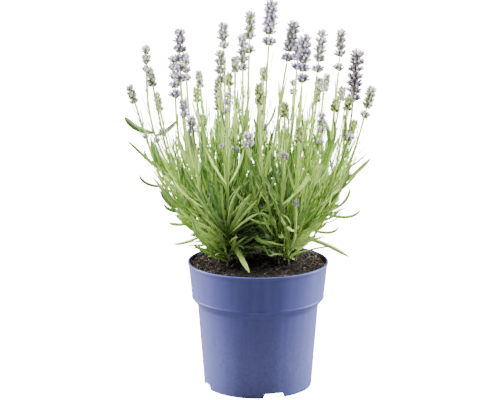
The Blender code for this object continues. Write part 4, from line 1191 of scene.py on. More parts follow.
# %% Add the leafy shoots that bear no flowers, and the low tufts
FILL_SEED, FILL_CLEARANCE, FRONT_CLEARANCE = 11, -1.0, -2.5
FILL_RADIUS, FILL_FLARE, FILL_SHIFT = 50.0, 0.5, 6.0
FILL_BACK, FILL_FRONT, FILL_FRONT_TOP = 88.0, -42.0, 205.0
FILL_FOOT_RADIUS, FILL_FOOT_FLARE = 42.0, 1.1
VOID_HALF_WIDTH, VOID_BACK, VOID_TOP = 16.0, 20.0, 20.0
SHOOTS, SHOOT_STEP, SHOOT_RADIUS = 7, 10.0, 0.75
SKIRT, LOW_TUFT, INNER_TUFT = 11, 18, 36
INNER_STEMS = ("back_middle", "back_right", "left_inner", "left_back", "back_left")


def in_the_fill(point):
    """Whether a point is inside the bowl of the leaves that fill, and behind those that show at the front."""
    x, y, z = point
    up = z - POT_HEIGHT
    in_front = y < FILL_FRONT and z < FILL_FRONT_TOP
    in_void = abs(x - 1) < VOID_HALF_WIDTH and y < VOID_BACK and up < VOID_TOP
    if in_front or in_void or y > FILL_BACK:
        return False
    return math.hypot(x + FILL_SHIFT, y) < min(FILL_RADIUS + FILL_FLARE * up,
                                               FILL_FOOT_RADIUS + FILL_FOOT_FLARE * up)


def slimmer(height):
    """How much narrower the leaves get up the plant."""
    return 1.0 - 0.5 * min(1.0, max(0.0, (height - 155) / 45))


def plan_shoots(stem, draw):
    """Leafy side shoots that leave a stem's axis round the way that it leans."""
    crown = stem["axis"][-1]
    lean = math.atan2(crown[1], crown[0])
    for k in range(SHOOTS):
        start, _ = point_along(stem["axis"], HOLE_DEPTH + 5.0 + 3.6 * k)
        azimuth = lean + math.radians(draw.uniform(-125, 125))
        tilt = math.radians(draw.uniform(4, 50))
        length = draw.uniform(50, 146) * (1 - 0.6 * math.sin(tilt))
        out = np.array([math.cos(azimuth), math.sin(azimuth), 0]) * math.sin(tilt)
        tip = start + length * (out + [0, 0, math.cos(tilt)])
        middle = start + length * 0.5 * (1.5 * out + [0, 0, 0.75 * math.cos(tilt)])
        yield bezier(start, (start + middle) / 2, middle, tip, 12)


def tuft(line, draw):
    """Small leaves that close a shoot's tip."""
    turn = draw.uniform(0, 360)
    for k in range(6):
        yield (line, line_length(line) - 1.0 - 0.8 * k, turn + 137.5 * k, draw.uniform(14, 28),
               draw.uniform(10, 26),
               draw.uniform(2, 14), 0.0, draw.uniform(1.0, 1.5))


def pairs(line, first, last, step, lengths, angles, widths, draw):
    """Opposite pairs up a line, each a quarter turn on from the last, more upright towards its end."""
    turn = draw.uniform(0, 180)
    distance = first + draw.uniform(0, step)
    while distance < last:
        share = distance / line_length(line)
        for opposite in (0, 180):
            leaving, ending = (angle * (1 - 0.5 * share) + draw.uniform(-10, 10) for angle in angles)
            yield (line, distance, turn + opposite + draw.uniform(-18, 18),
                   draw.uniform(*lengths) * (1 - 0.2 * share),
                   leaving, ending, draw.uniform(0.0, 0.22) * (1 - share), draw.uniform(*widths))
        turn += 90
        distance += step * draw.uniform(0.8, 1.2)


def fill_leaves(stem, draw):
    """More leaves for a stem: a skirt at the soil, a tuft up its axis, pairs up its shoots and stalks."""
    for k in range(SKIRT):
        yield (stem["axis"], HOLE_DEPTH + 1.5 + 10.0 * k / SKIRT, 137.5 * k + draw.uniform(-25, 25),
               draw.uniform(14, 27),
               draw.uniform(30, 70), draw.uniform(35, 90), draw.uniform(0.0, 0.25), draw.uniform(1.6, 2.4))
    count = INNER_TUFT if stem["name"] in INNER_STEMS else LOW_TUFT
    for k in range(count):
        rise = HOLE_DEPTH + 3.0 + 25.0 * k / count
        lower = 1 - k / count
        yield (stem["axis"], rise, 137.5 * k + draw.uniform(-20, 20), draw.uniform(28, 54),
               draw.uniform(20, 60) + 20 * lower,
               draw.uniform(20, 80) + 15 * lower, draw.uniform(0.0, 0.3), draw.uniform(1.4, 2.2))
    for line in stem["shoots"]:
        yield from pairs(line, 5, line_length(line) - 3, SHOOT_STEP, (32, 50), (52, 16), (1.2, 2.0), draw)
        yield from tuft(line, draw)
    for line in stem["stalks"]:
        length = line_length(line)
        yield from pairs(line, 4, 0.5 * length, 16, (26, 46), (50, 14), (1.0, 1.7), draw)
        yield from pairs(line, 0.42 * length, 0.92 * length, 11, (20, 42), (30, 5), (0.8, 1.45), draw)


draw = random.Random(FILL_SEED)
for stem in stems:
    stem["shoots"] = list(plan_shoots(stem, draw))
lay_placed(front_leaves, FRONT_CLEARANCE)
print("leaves with those that show at the front:", sum(len(own) for own in leaves.values()))
for stem in stems:
    for line, distance, turn, length, first, last, droop, half_width in fill_leaves(stem, draw):
        tries = [leaf_line(line, distance, turn + bend, length, first, last, droop) for bend in BENDS]
        lay(stem["name"], [leaf for leaf in tries if in_the_fill(leaf[0][-1])],
            half_width * slimmer(tries[0][0][3][2]),
            FILL_CLEARANCE)
print("leaves in all:", sum(len(own) for own in leaves.values()))

# %% [markdown]
# ## Sweeping a section along a line
# Blades and stalks are both a section carried along a curve. One tree does both: the guide is a mesh of
# chained edges that becomes curves, each curve is smoothed and given even stations, its upper side is set
# from an attribute, and the section is swept with a width that follows the blade's outline. The section's
# own place across the blade comes along as an attribute, so that the material can find the midrib and the
# margins.

# %% Build the sweeping tree
sweep, given, result = new_tree("swept_section", {
    "Section": "Object", "Stations": "Int", "Blade outline": "Float", "Material": "Material"})
chain = add(sweep, "GeometryNodeMeshToCurve", {"Mesh": given["Geometry"]})
smooth = add(sweep, "GeometryNodeCurveSplineType", {"Curve": chain}, spline_type="CATMULL_ROM")
even = add(sweep, "GeometryNodeResampleCurve", {"Curve": smooth, "Count": given["Stations"]}, mode="COUNT")
upper = add(sweep, "GeometryNodeInputNamedAttribute", {"Name": "upper"}, data_type="FLOAT_VECTOR")
facing = add(sweep, "GeometryNodeSetCurveNormal", {"Curve": even, "Normal": upper}, mode="FREE")
place_on = add(sweep, "GeometryNodeSplineParameter")
outline = add(sweep, "ShaderNodeFloatCurve",
              {"Value": place_on.outputs["Factor"], "Factor": given["Blade outline"]})
BLADE_OUTLINE = ((0, 0.36), (0.12, 0.64), (0.28, 0.9), (0.52, 1.0), (0.74, 0.95), (0.88, 0.7), (0.96, 0.4),
                 (1, 0.1))
curve = outline.mapping.curves[0]
curve.points[0].location = BLADE_OUTLINE[0]
curve.points[1].location = BLADE_OUTLINE[-1]
for spot in BLADE_OUTLINE[1:-1]:
    curve.points.new(*spot)
outline.mapping.update()
flat = add(sweep, "ShaderNodeMix", {"Factor": given["Blade outline"], 2: 1.0, 3: outline})
width = add(sweep, "GeometryNodeInputNamedAttribute", {"Name": "half_width"}, data_type="FLOAT")
scale = add(sweep, "ShaderNodeMath", {0: width, 1: flat}, operation="MULTIPLY")
marked = add(sweep, "GeometryNodeStoreNamedAttribute",
             {"Geometry": facing, "Name": "along", "Value": place_on.outputs["Factor"]})
section = add(sweep, "GeometryNodeObjectInfo", {"Object": given["Section"]})
loop = add(sweep, "GeometryNodeMeshToCurve", {"Mesh": section.outputs["Geometry"]})
skin = add(sweep, "GeometryNodeCurveToMesh",
           {"Curve": marked, "Profile Curve": loop, "Scale": scale, "Fill Caps": True})
end_tree(sweep, result, skin, given["Material"])
print("sweeping tree:", len(sweep.nodes), "nodes")

# %% Draw the sections
def section_loop(name, points, across):
    """A closed loop of edges in XY, with each point's place across the blade."""
    mesh = bpy.data.meshes.new(name)
    mesh.from_pydata([(x, y, 0) for x, y in points], [(k, (k + 1) % len(points)) for k in range(len(points))],
                     [])
    store(mesh, "across", across)
    return show(name, mesh)


def blade_section():
    """A shallow V with a grooved midrib above, a keel below and margins rolled down, half the width being 1.

    A swept section's X lies along the curve's normal, the blade's upper side, so its Y is the way across.
    """
    places = (-1.0, -0.86, -0.55, -0.18, 0.0, 0.18, 0.55, 0.86, 1.0)
    top = [(0.5 * abs(y) ** 1.2 + 0.07 * math.sin(math.pi * min(1, abs(y) / 0.9))
            - (0.1 if abs(y) == 1 else 0), y)
           for y in places]
    under = [(x - 0.16 - 0.16 * math.exp(-(y / 0.16) ** 2), y) for x, y in top[-2:0:-1]]
    sides = list(places) + [y + (3 if y >= 0 else -3) for _, y in under]
    return top + under, sides


def square_section():
    """A square stalk with rounded corners and a groove down each face."""
    points = []
    for k in range(16):
        turn = 2 * math.pi * k / 16
        radius = (1.0, 0.93, 0.74, 0.93)[k % 4]
        points.append((radius * math.cos(turn), radius * math.sin(turn)))
    return points, [(1.0, 0.6, 0.0, 0.6)[k % 4] for k in range(16)]


blade = section_loop("blade_section", *blade_section())
square = section_loop("square_section", *square_section())
print("points round a blade:", len(blade.data.vertices))

# %% [markdown]
# ## Leaf and stalk
# A lavender leaf is felted with short white hairs, so it looks greyer and softer than its green: a rough
# surface with a fine bump and a trace of sheen stands for the felt. Its midrib and margins are paler, its
# base yellower, and each leaf has its own tone. An old leaf by the soil is pale, with grey-green dots of a
# millimetre or two. The stalk is smooth and pale green, greener among the leaves, brown and corky where it
# leaves the soil.
# Each leaf's tone also carries painted light and shade: darker behind and low in the middle, lighter at the
# sides and high up.

# %% Mix the leaf and the stalk
leaf_green, tree, shader, place = new_material("lavender_leaf_felted", 0.62, Sheen_Weight=0.03,
                                               Sheen_Roughness=0.5,
                                               Specular_IOR_Level=0.25)
# The tone carries painted light and shade as well as the leaf's own colour.
tone = add(tree, "ShaderNodeAttribute", attribute_name="tone")
along = add(tree, "ShaderNodeAttribute", attribute_name="along")
across = add(tree, "ShaderNodeAttribute", attribute_name="across")
mottle = add(tree, "ShaderNodeTexNoise", {"Vector": place, "Scale": grain(4), "Detail": 3.0})
spread = add(tree, "ShaderNodeMath", {0: mottle, 1: 0.5, 2: -0.25}, operation="MULTIPLY_ADD")
mixed_tone = add(tree, "ShaderNodeMath", {0: tone.outputs["Fac"], 1: spread}, operation="ADD")
green = add(tree, "ShaderNodeValToRGB", {"Fac": mixed_tone},
            stops=((0.0, "#31482b"), (0.3, "#50743c"), (0.6, "#84aa48"), (1.0, "#d3ea86")))
side = add(tree, "ShaderNodeMath", {0: across.outputs["Fac"]}, operation="ABSOLUTE")
rib = add(tree, "ShaderNodeMapRange",
          {"Value": side, "From Min": 0.16, "From Max": 0.04, "To Min": 0.0, "To Max": 0.14})
under = add(tree, "ShaderNodeMapRange",
            {"Value": side, "From Min": 1.4, "From Max": 2.0, "To Min": 0.0, "To Max": 0.3})
young = add(tree, "ShaderNodeMapRange",
            {"Value": along.outputs["Fac"], "From Min": 0.25, "From Max": 0.0, "To Min": 0.0, "To Max": 0.5})
margin = add(tree, "ShaderNodeMath", {0: side, 1: 1.0, 2: 0.16}, operation="COMPARE")
edge = add(tree, "ShaderNodeMath", {0: margin, 1: 0.14}, operation="MULTIPLY")
lined = add(tree, "ShaderNodeMath", {0: rib, 1: edge}, operation="MAXIMUM")
old = add(tree, "ShaderNodeAttribute", attribute_name="spots")
dots = add(tree, "ShaderNodeTexNoise", {"Vector": place, "Scale": grain(1.6), "Detail": 1.0})
dotted = add(tree, "ShaderNodeMapRange", {"Value": dots, "From Min": 0.46, "From Max": 0.56})
inner = add(tree, "ShaderNodeMath", {0: side, 1: 0.75}, operation="LESS_THAN")
spotted = add(tree, "ShaderNodeMath", {0: dotted, 1: inner}, operation="MULTIPLY")
spot_share = add(tree, "ShaderNodeMath", {0: spotted, 1: old.outputs["Fac"]}, operation="MULTIPLY")
colour = laid_over(tree, green, (lined, "#b9cf80"), (under, "#809c5c"), (young, "#86ad42"),
                   (spot_share, "#3f5030"))
hair = add(tree, "ShaderNodeTexNoise", {"Vector": place, "Scale": grain(0.5), "Detail": 2.0})
bump = add(tree, "ShaderNodeBump", {"Height": hair, "Strength": 0.25, "Distance": 0.0003})
wire(shader, {"Base Color": colour, "Normal": bump})

stalk_green, tree, shader, place = new_material("lavender_stalk_green", 0.6, Sheen_Weight=0.06,
                                                Specular_IOR_Level=0.25)
tone = add(tree, "ShaderNodeAttribute", attribute_name="tone")
across = add(tree, "ShaderNodeAttribute", attribute_name="across")
height = add(tree, "ShaderNodeSeparateXYZ", {"Vector": place})
green = add(tree, "ShaderNodeValToRGB", {"Fac": tone.outputs["Fac"]},
            stops=((0.0, "#5c6340"), (0.3, "#a4be48"), (1.0, "#d6e880")))
edge_light = add(tree, "ShaderNodeMath", {0: across.outputs["Fac"], 1: 0.3}, operation="MULTIPLY")
leafy = add(tree, "ShaderNodeMapRange",
            {"Value": height.outputs["Z"], "From Min": 0.25, "From Max": 0.17, "To Min": 0.0, "To Max": 0.75})
woody = add(tree, "ShaderNodeMapRange",
            {"Value": height.outputs["Z"], "From Min": 0.134, "From Max": 0.12})
colour = laid_over(tree, green, (edge_light, "#deeda0"), (leafy, "#5f8034"), (woody, "#353021"))
streak = add(tree, "ShaderNodeMapping", {"Vector": place, "Scale": (1, 1, 0.15)})
lines_noise = add(tree, "ShaderNodeTexNoise", {"Vector": streak, "Scale": grain(0.6), "Detail": 2.0})
bump = add(tree, "ShaderNodeBump", {"Height": lines_noise, "Strength": 0.2, "Distance": 0.0003})
wire(shader, {"Base Color": colour, "Normal": bump})
print("leaf and stalk mixed")

# %% Grow the leafy stems
BLADE_STATIONS, STALK_STATIONS = 11, 40
DARK_STEM, DARK_STALK = "right_outer", 2


def chains(name, lines, values):
    """One mesh that holds several lines of points as chained edges, with numbers stored at each point."""
    points = np.concatenate(lines) * MM
    edges, first = [], 0
    for line in lines:
        edges += [(first + k, first + k + 1) for k in range(len(line) - 1)]
        first += len(line)
    mesh = bpy.data.meshes.new(name)
    mesh.from_pydata(points.tolist(), edges, [])
    for label, per_line in values.items():
        store(mesh, label, np.concatenate(per_line))
    return mesh


def twisted_upper(midrib, across, twist):
    """The upper side of a blade at each point of its midrib, turned by a small twist towards the tip."""
    along = tangents(midrib)
    upper = np.cross(along, across)
    upper /= np.linalg.norm(upper, axis=1)[:, None]
    angle = twist * np.linspace(0, 1, len(midrib))[:, None] ** 1.5
    return np.cos(angle) * upper + np.sin(angle) * np.cross(along, upper)


def joined(name, meshes):
    """Several meshes as one, with their attributes and materials kept."""
    parts = [show(f"{name}_{k}", mesh) for k, mesh in enumerate(meshes)]
    with bpy.context.temp_override(active_object=parts[0], selected_editable_objects=parts,
                                   selected_objects=parts):
        bpy.ops.object.join()
    parts[0].name = parts[0].data.name = name
    return parts[0]


def blades(name, own, draw):
    """The blades of one stem."""
    guide = chains(name, [midrib for midrib, *_ in own], {
        "half_width": [np.full(len(midrib), half * MM) for midrib, _, half, _, _ in own],
        "upper": [twisted_upper(midrib, across, draw.uniform(-0.6, 0.6)) for midrib, across, *_ in own],
        "tone": [np.full(len(midrib), tone) for midrib, _, _, tone, _ in own],
        "spots": [np.full(len(midrib), spots) for midrib, _, _, _, spots in own]})
    return grown(name, guide, sweep, {"Section": blade, "Stations": BLADE_STATIONS, "Blade outline": 1.0,
                                      "Material": leaf_green})


def stalks(name, stem, draw):
    """The woody foot and the stalks of one stem."""
    lines = [stem["axis"]] + stem["fine"] + stem["shoots"]
    radii = [np.array([1.0, 1.0, 0.9, 0.7]) * AXIS_RADIUS]
    radii += [np.linspace(STALK_RADIUS, STALK_TIP_RADIUS,
                          len(line)) * STALK_FULLNESS for line in stem["fine"]]
    radii += [np.linspace(1.5, 0.6, len(line)) * SHOOT_RADIUS for line in stem["shoots"]]
    tones = [0.2] + [draw.uniform(0.3, 0.9) for _ in lines[1:]]
    if stem["name"] == DARK_STEM:
        tones[1 + DARK_STALK] = 0.0
    guide = chains(name, lines, {
        "half_width": [radius * MM for radius in radii],
        "upper": [np.tile([0.3, -1.0, 0.1], (len(line), 1)) for line in lines],
        "tone": [np.full(len(line), tone) for line, tone in zip(lines, tones)]})
    return grown(name, guide, sweep, {"Section": square, "Stations": STALK_STATIONS, "Blade outline": 0.0,
                                      "Material": stalk_green})


draw = random.Random(21)
for stem in stems:
    name = stem["name"]
    piece = joined("leafy_stem_" + name, [stalks(name + "_stalks", stem, draw),
                                          blades(name + "_blades", leaves[name], draw)])
    piece.data.shade_smooth()
    piece.data.set_sharp_from_angle(angle=math.radians(50))
    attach(piece, "root")
    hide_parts("stem_" + name)
print("faces on the last stem:", len(piece.data.polygons))

# %% [markdown]
# ## One floret
# A lavender flower sits in a woolly, ribbed, tubular calyx about 6 mm long. Closed, it is a plump green
# bud; open, two small violet lips stand out of it. Each is a loft: rings of points drawn at heights up a
# unit floret, with ribs as a wave round the ring. A few dozen faces are enough, because some thousands of
# them stand on the plant. Two attributes tell the material where it is: how far up the floret, and how far
# round from its outer side.

# %% Shape the floret parts
def lofted(name, rings, foot, tip):
    """A closed shape through rings of the same count, from a foot point to a tip, with its height stored."""
    work = bmesh.new()
    made = [[work.verts.new(point) for point in ring] for ring in rings]
    start, end = work.verts.new(foot), work.verts.new(tip)
    count = len(made[0])
    for k in range(count):
        after = (k + 1) % count
        work.faces.new((start, made[0][after], made[0][k]))
        for low, high in zip(made, made[1:]):
            work.faces.new((low[k], low[after], high[after], high[k]))
        work.faces.new((made[-1][k], made[-1][after], end))
    mesh = bpy.data.meshes.new(name)
    work.to_mesh(mesh)
    work.free()
    store(mesh, "reach", [vert.co.z for vert in mesh.vertices])
    store(mesh, "flank", [abs(math.atan2(vert.co.y, vert.co.x)) / math.pi for vert in mesh.vertices])
    return show(name, mesh)


def ring(count, radius, height, wave=0.0, lift=0.0, squeeze=1.0):
    """A ring at a height. Its odd points are drawn in by wave and lowered by lift."""
    points = []
    for k in range(count):
        odd = k % 2
        reach = radius * (1 - wave * odd)
        turn = 2 * math.pi * k / count
        points.append((reach * math.cos(turn), reach * math.sin(turn) * squeeze, height - lift * odd))
    return points


calyx_shape = lofted("calyx_shape", [
    ring(10, 0.09, 0.03), ring(10, 0.16, 0.22, 0.14), ring(10, 0.19, 0.5, 0.16), ring(10, 0.17, 0.82, 0.16),
    ring(10, 0.19, 1.0, 0.12, 0.13), ring(10, 0.13, 0.93, 0.1, 0.06)], (0, 0, 0), (0, 0, 0.72))
bud_shape = lofted("bud_shape", [
    ring(8, 0.11, 0.04), ring(8, 0.24, 0.25, 0.1), ring(8, 0.29, 0.52, 0.13), ring(8, 0.21, 0.8, 0.13),
    ring(8, 0.09, 0.95, 0.1)], (0, 0, 0), (0, 0, 1.0))
corolla_shape = lofted("corolla_shape", [
    ring(10, 0.06, 0.02), ring(10, 0.1, 0.3), ring(10, 0.17, 0.5, 0.1), ring(10, 0.46, 0.74, 0.5, 0.12),
    ring(10, 0.44, 0.8, 0.52, 0.12), ring(10, 0.1, 0.66)], (0, 0, 0), (0, 0, 0.5))
bract_shape = lofted("bract_shape", [
    ring(8, 0.1, 0.05, 0.1, 0, 0.5), ring(8, 0.3, 0.3, 0.1, 0, 0.32), ring(8, 0.26, 0.6, 0.1, 0, 0.28),
    ring(8, 0.08, 0.9, 0.1, 0, 0.4)], (0, 0, 0), (0, 0, 1.0))
print("faces on a calyx:", len(calyx_shape.data.polygons))

# %% [markdown]
# ## Whorls of florets
# The florets sit in whorls up the spike, and in each whorl they fan out like the ribs of a cup. One tree
# sets one ring: each guide point is a whorl, with the spike's direction and the whorl's size as attributes.
# It is copied once for each floret, the copies are turned round the axis and leaned outward, and a little
# seeded chance loosens them.

# %% Build the whorl tree
whorl_ring, given, result = new_tree("whorl_ring", {
    "Shape": "Object", "Florets": "Int", "Lean": "Float", "Lean spread": "Float", "Length": "Float",
    "Width": "Float", "Foot": "Float", "Rise": "Float", "Turn": "Float", "Share": "Float", "Seed": "Int",
    "Material": "Material"})


def chance(low, high, shift):
    """A seeded random number for each floret."""
    seed = calculate("ADD", given["Seed"], float(shift))
    return add(whorl_ring, "FunctionNodeRandomValue", {2: low, 3: high, "Seed": seed},
               data_type="FLOAT").outputs[1]


def calculate(kind, first, second):
    return add(whorl_ring, "ShaderNodeMath", {0: first, 1: second}, operation=kind)


copies = add(whorl_ring, "GeometryNodeDuplicateElements",
             {"Geometry": given["Geometry"], "Amount": given["Florets"]}, domain="POINT")
axis_of = add(whorl_ring, "GeometryNodeInputNamedAttribute", {"Name": "axis"}, data_type="FLOAT_VECTOR")
size_of = add(whorl_ring, "GeometryNodeInputNamedAttribute", {"Name": "size"}, data_type="FLOAT")
open_of = add(whorl_ring, "GeometryNodeInputNamedAttribute", {"Name": "open"}, data_type="FLOAT")
turn_of = add(whorl_ring, "GeometryNodeInputNamedAttribute", {"Name": "turn"}, data_type="FLOAT")
step = calculate("DIVIDE", 2 * math.pi, given["Florets"])
round_it = calculate("MULTIPLY", copies.outputs["Duplicate Index"], step)
angle = calculate("ADD", calculate("ADD", round_it, turn_of), calculate("ADD", given["Turn"],
                                                                                  chance(-0.16, 0.16, 1)))
upright = add(whorl_ring, "FunctionNodeAlignRotationToVector", {"Vector": axis_of}, axis="Z")
about = add(whorl_ring, "FunctionNodeAxisAngleToRotation", {"Axis": (0, 0, 1), "Angle": angle})
facing = add(whorl_ring, "FunctionNodeRotateRotation", {0: upright, 1: about},
             rotation_space="LOCAL")
loose_lean = calculate("ADD", given["Lean"],
                       calculate("MULTIPLY", given["Lean spread"], chance(-1.0, 1.0, 2)))
lean_by = calculate("MULTIPLY", loose_lean, open_of)
tip_over = add(whorl_ring, "FunctionNodeAxisAngleToRotation", {"Axis": (0, 1, 0), "Angle": lean_by})
leaning = add(whorl_ring, "FunctionNodeRotateRotation", {0: facing, 1: tip_over},
              rotation_space="LOCAL")
offset = add(whorl_ring, "ShaderNodeCombineXYZ", {"X": given["Foot"], "Z": calculate("ADD", given["Rise"],
             calculate("MULTIPLY", given["Length"], chance(-0.06, 0.08, 3)))})
moved = add(whorl_ring, "FunctionNodeRotateVector", {0: offset, 1: facing})
seats = add(whorl_ring, "GeometryNodeSetPosition", {"Geometry": copies.outputs["Geometry"], "Offset": moved})
grow = calculate("MULTIPLY", size_of, chance(0.86, 1.1, 4))
across_size = calculate("MULTIPLY", given["Width"], grow)
scale = add(whorl_ring, "ShaderNodeCombineXYZ",
            {"X": across_size, "Y": across_size, "Z": calculate("MULTIPLY", given["Length"], grow)})
shape = add(whorl_ring, "GeometryNodeObjectInfo", {"Object": given["Shape"]})
kept = add(whorl_ring, "FunctionNodeRandomValue", {"Probability": given["Share"], "Seed": given["Seed"]},
           data_type="BOOLEAN")
florets = add(whorl_ring, "GeometryNodeInstanceOnPoints",
              {"Points": seats, "Selection": kept.outputs[3], "Instance": shape.outputs["Geometry"],
               "Rotation": leaning, "Scale": scale})
shade = add(whorl_ring, "GeometryNodeStoreNamedAttribute",
            {"Geometry": florets, "Name": "shade", "Value": chance(0.0, 1.0, 5)}, domain="INSTANCE")
end_tree(whorl_ring, result, shade, given["Material"])
print("whorl tree:", len(whorl_ring.nodes), "nodes")

# %% [markdown]
# ## Calyx, corolla and bract
# A calyx is green at its foot and grey-violet towards its mouth, woolly all over, so it takes a light
# sheen. The corolla's lips are a clear violet with a darker throat. A bract is a papery scale, green going
# brown. The attribute that tells the height up the floret carries these colours, and each floret's own
# shade moves them a little.
# The flanks of calyces, green buds and bracts are darkened where they crowd together, as painted shade.
# The fresh and bud calyces are painted lighter across the middle and darker at both ends, as painted light
# and shade.

# %% Mix the flower's materials
def petal_finish(name, stops, roughness, sheen, shift, shaded_flank_share):
    """A soft plant finish whose colour runs up the floret, with each floret's own shade and a fine noise.

    Its flanks, crowded against its neighbours, get painted shade: they keep only a share of the light colour.
    """
    material, tree, shader, place = new_material(name, roughness, Sheen_Weight=sheen, Sheen_Roughness=0.4,
                                                 Specular_IOR_Level=0.3)
    reach = add(tree, "ShaderNodeAttribute", attribute_name="reach")
    own = add(tree, "ShaderNodeAttribute", attribute_name="shade")
    felt = add(tree, "ShaderNodeTexNoise", {"Vector": place, "Scale": grain(0.7), "Detail": 3.0})
    loosened = add(tree, "ShaderNodeMath", {0: own.outputs["Fac"], 1: shift, 2: -shift / 2},
                   operation="MULTIPLY_ADD")
    height = add(tree, "ShaderNodeMath", {0: reach.outputs["Fac"], 1: loosened}, operation="ADD")
    colour = add(tree, "ShaderNodeValToRGB", {"Fac": height}, stops=stops)
    worn = add(tree, "ShaderNodeMapRange", {"Value": felt, "From Min": 0.3, "From Max": 0.7,
                                            "To Min": 0.8, "To Max": 1.2})
    # Painted shade on the flanks, between neighbouring florets.
    round_it = add(tree, "ShaderNodeAttribute", attribute_name="flank")
    held = add(tree, "ShaderNodeMapRange",
               {"Value": round_it.outputs["Fac"], "From Min": 0.16, "From Max": 0.4,
                                            "To Min": 1.0, "To Max": shaded_flank_share})
    darker = add(tree, "ShaderNodeMath", {0: worn, 1: held}, operation="MULTIPLY")
    tinted = add(tree, "ShaderNodeVectorMath", {0: colour, 1: darker},
                 operation="MULTIPLY")
    bump = add(tree, "ShaderNodeBump", {"Height": felt, "Strength": 0.3, "Distance": 0.0003})
    wire(shader, {"Base Color": tinted, "Normal": bump})
    return material


# The fresh and bud ramps paint a highlight across each bud's middle and painted shade at its foot and tip.
calyx_finish = {
    "fresh": petal_finish("calyx_yellow_green", ((0.0, "#5f7a2a"), (0.35, "#93ae44"), (0.62, "#e8f2a6"),
                                                 (0.95, "#93a84e")), 0.75, 0.25, 0.3, 0.36),
    "bud": petal_finish("calyx_green_woolly", ((0.0, "#5e6b3a"), (0.35, "#929e66"), (0.62, "#f8faea"),
                                               (0.95, "#8a8678")), 0.75, 0.25, 0.3, 0.46),
    "green": petal_finish("calyx_green_ribbed", ((0.0, "#98b254"), (0.35, "#a8ba74"), (0.65, "#babfa8"),
                                                 (0.9, "#f9f8f8")), 0.75, 0.25, 0.4, 0.7),
    "half": petal_finish("calyx_grey_woolly", ((0.0, "#a8b66a"), (0.2, "#a6a88a"), (0.58, "#a29aa4"),
                                               (0.86, "#fbf8fc")), 0.75, 0.25, 0.4, 0.75),
    "bloom": petal_finish("calyx_violet_woolly", ((0.0, "#a0ac62"), (0.2, "#948a80"), (0.56, "#82749a"),
                                                  (0.86, "#f8f3fb")), 0.75, 0.25, 0.4, 0.75),
    "dark": petal_finish("calyx_purple_woolly", ((0.0, "#8a8c6a"), (0.2, "#847886"), (0.58, "#7a6c82"),
                                                 (0.86, "#efe8f2")), 0.75, 0.25, 0.4, 0.75),
    "small": petal_finish("calyx_purple_unopened", ((0.0, "#7c8450"), (0.3, "#6a5f72"), (0.7, "#75688a"),
                                                    (1.0, "#a79bb0")), 0.75, 0.2, 0.3, 0.7)}
corolla_finish = petal_finish("corolla_violet", ((0.0, "#5c4f90"), (0.45, "#8074b8"), (0.75, "#b8aee0"),
                                                 (1.0, "#e4def6")), 0.55, 0.15, 0.3, 1.0)
bract_finish = petal_finish("bract_papery", ((0.0, "#8fa250"), (0.6, "#8c9a56"), (1.0, "#8c7d58")),
                            0.7, 0.2, 0.3, 0.8)
print("flower materials:", len(calyx_finish) + 2)

# %% [markdown]
# ## Composing a spike
# A spike's tree joins several rings on the same whorls: the outer calyces, an inner ring that fills the
# cup, the corollas or closed buds, and the bracts beneath. Its core is the stalk, carried on to the tip.

# %% Grow the spikes
CLOSE_SET = 0.85


def whorls_of(foot, along, length, stage, size, places):
    """Each whorl's middle, direction, size, openness and turn, at known places or by the solids' rule."""
    pitch = stage["pitch"] * (CLOSE_SET if stage is BUD else 1.0)
    whorls = max(1, round((length - stage["reach"]) / pitch))
    shares = [1 - (1 - k / whorls) ** 1.15 for k in range(whorls + 1)]
    for k, share in enumerate(places or shares):
        own_size = size * (0.95 + 0.05 * math.sin(math.pi * share))
        middle = foot + along * (length - stage["reach"] - 1.0) * share
        yield middle, along, own_size, 1 - 0.14 * share ** 6, 0.4 * (k % 2)


def late_whorls_of(name, index):
    """The whorls that open by themselves lower on a stalk, with the kind of flower that each has."""
    for stem_name, stalk, below, kind, size in LATE_WHORLS:
        if (stem_name, stalk) == (name, index):
            line = by_name[name]["fine"][index]
            middle, along = point_along(line, line_length(line) - below)
            yield kind, [(middle, along, size, 1.0, 0.0)]


def whorl_guide(name, whorls, draw):
    """A mesh with one loose point for each whorl."""
    middles, axes, sizes, openness, turns = zip(*whorls)
    mesh = bpy.data.meshes.new(name)
    mesh.from_pydata([tuple(middle * MM) for middle in middles], [], [])
    store(mesh, "axis", axes)
    store(mesh, "size", sizes)
    store(mesh, "open", openness)
    store(mesh, "turn", [turn + draw.uniform(-0.2, 0.2) for turn in turns])
    return mesh


# stem, stalk, how far below the spike in millimetres, the kind of its florets, size
LATE_WHORLS = (
    ("right_outer", 2, 36, "bloom", 0.95), ("left_outer", 0, 33, "half", 0.6),
    ("left_outer", 1, 43, "half", 0.65),
    ("left_side", 0, 66, "half", 0.6), ("left_back", 0, 69, "half", 0.75),
    ("left_inner", 1, 71, "bloom", 0.6),
    ("back_middle", 2, 77, "half", 0.7), ("right_front", 2, 37, "bloom", 0.65),
    ("left_outer", 1, 113, "half", 0.6),
    ("right_low", 2, 9, "half", 0.6), ("left_inner", 0, 60, "half", 0.7), ("right_inner", 0, 48, "half", 0.7))

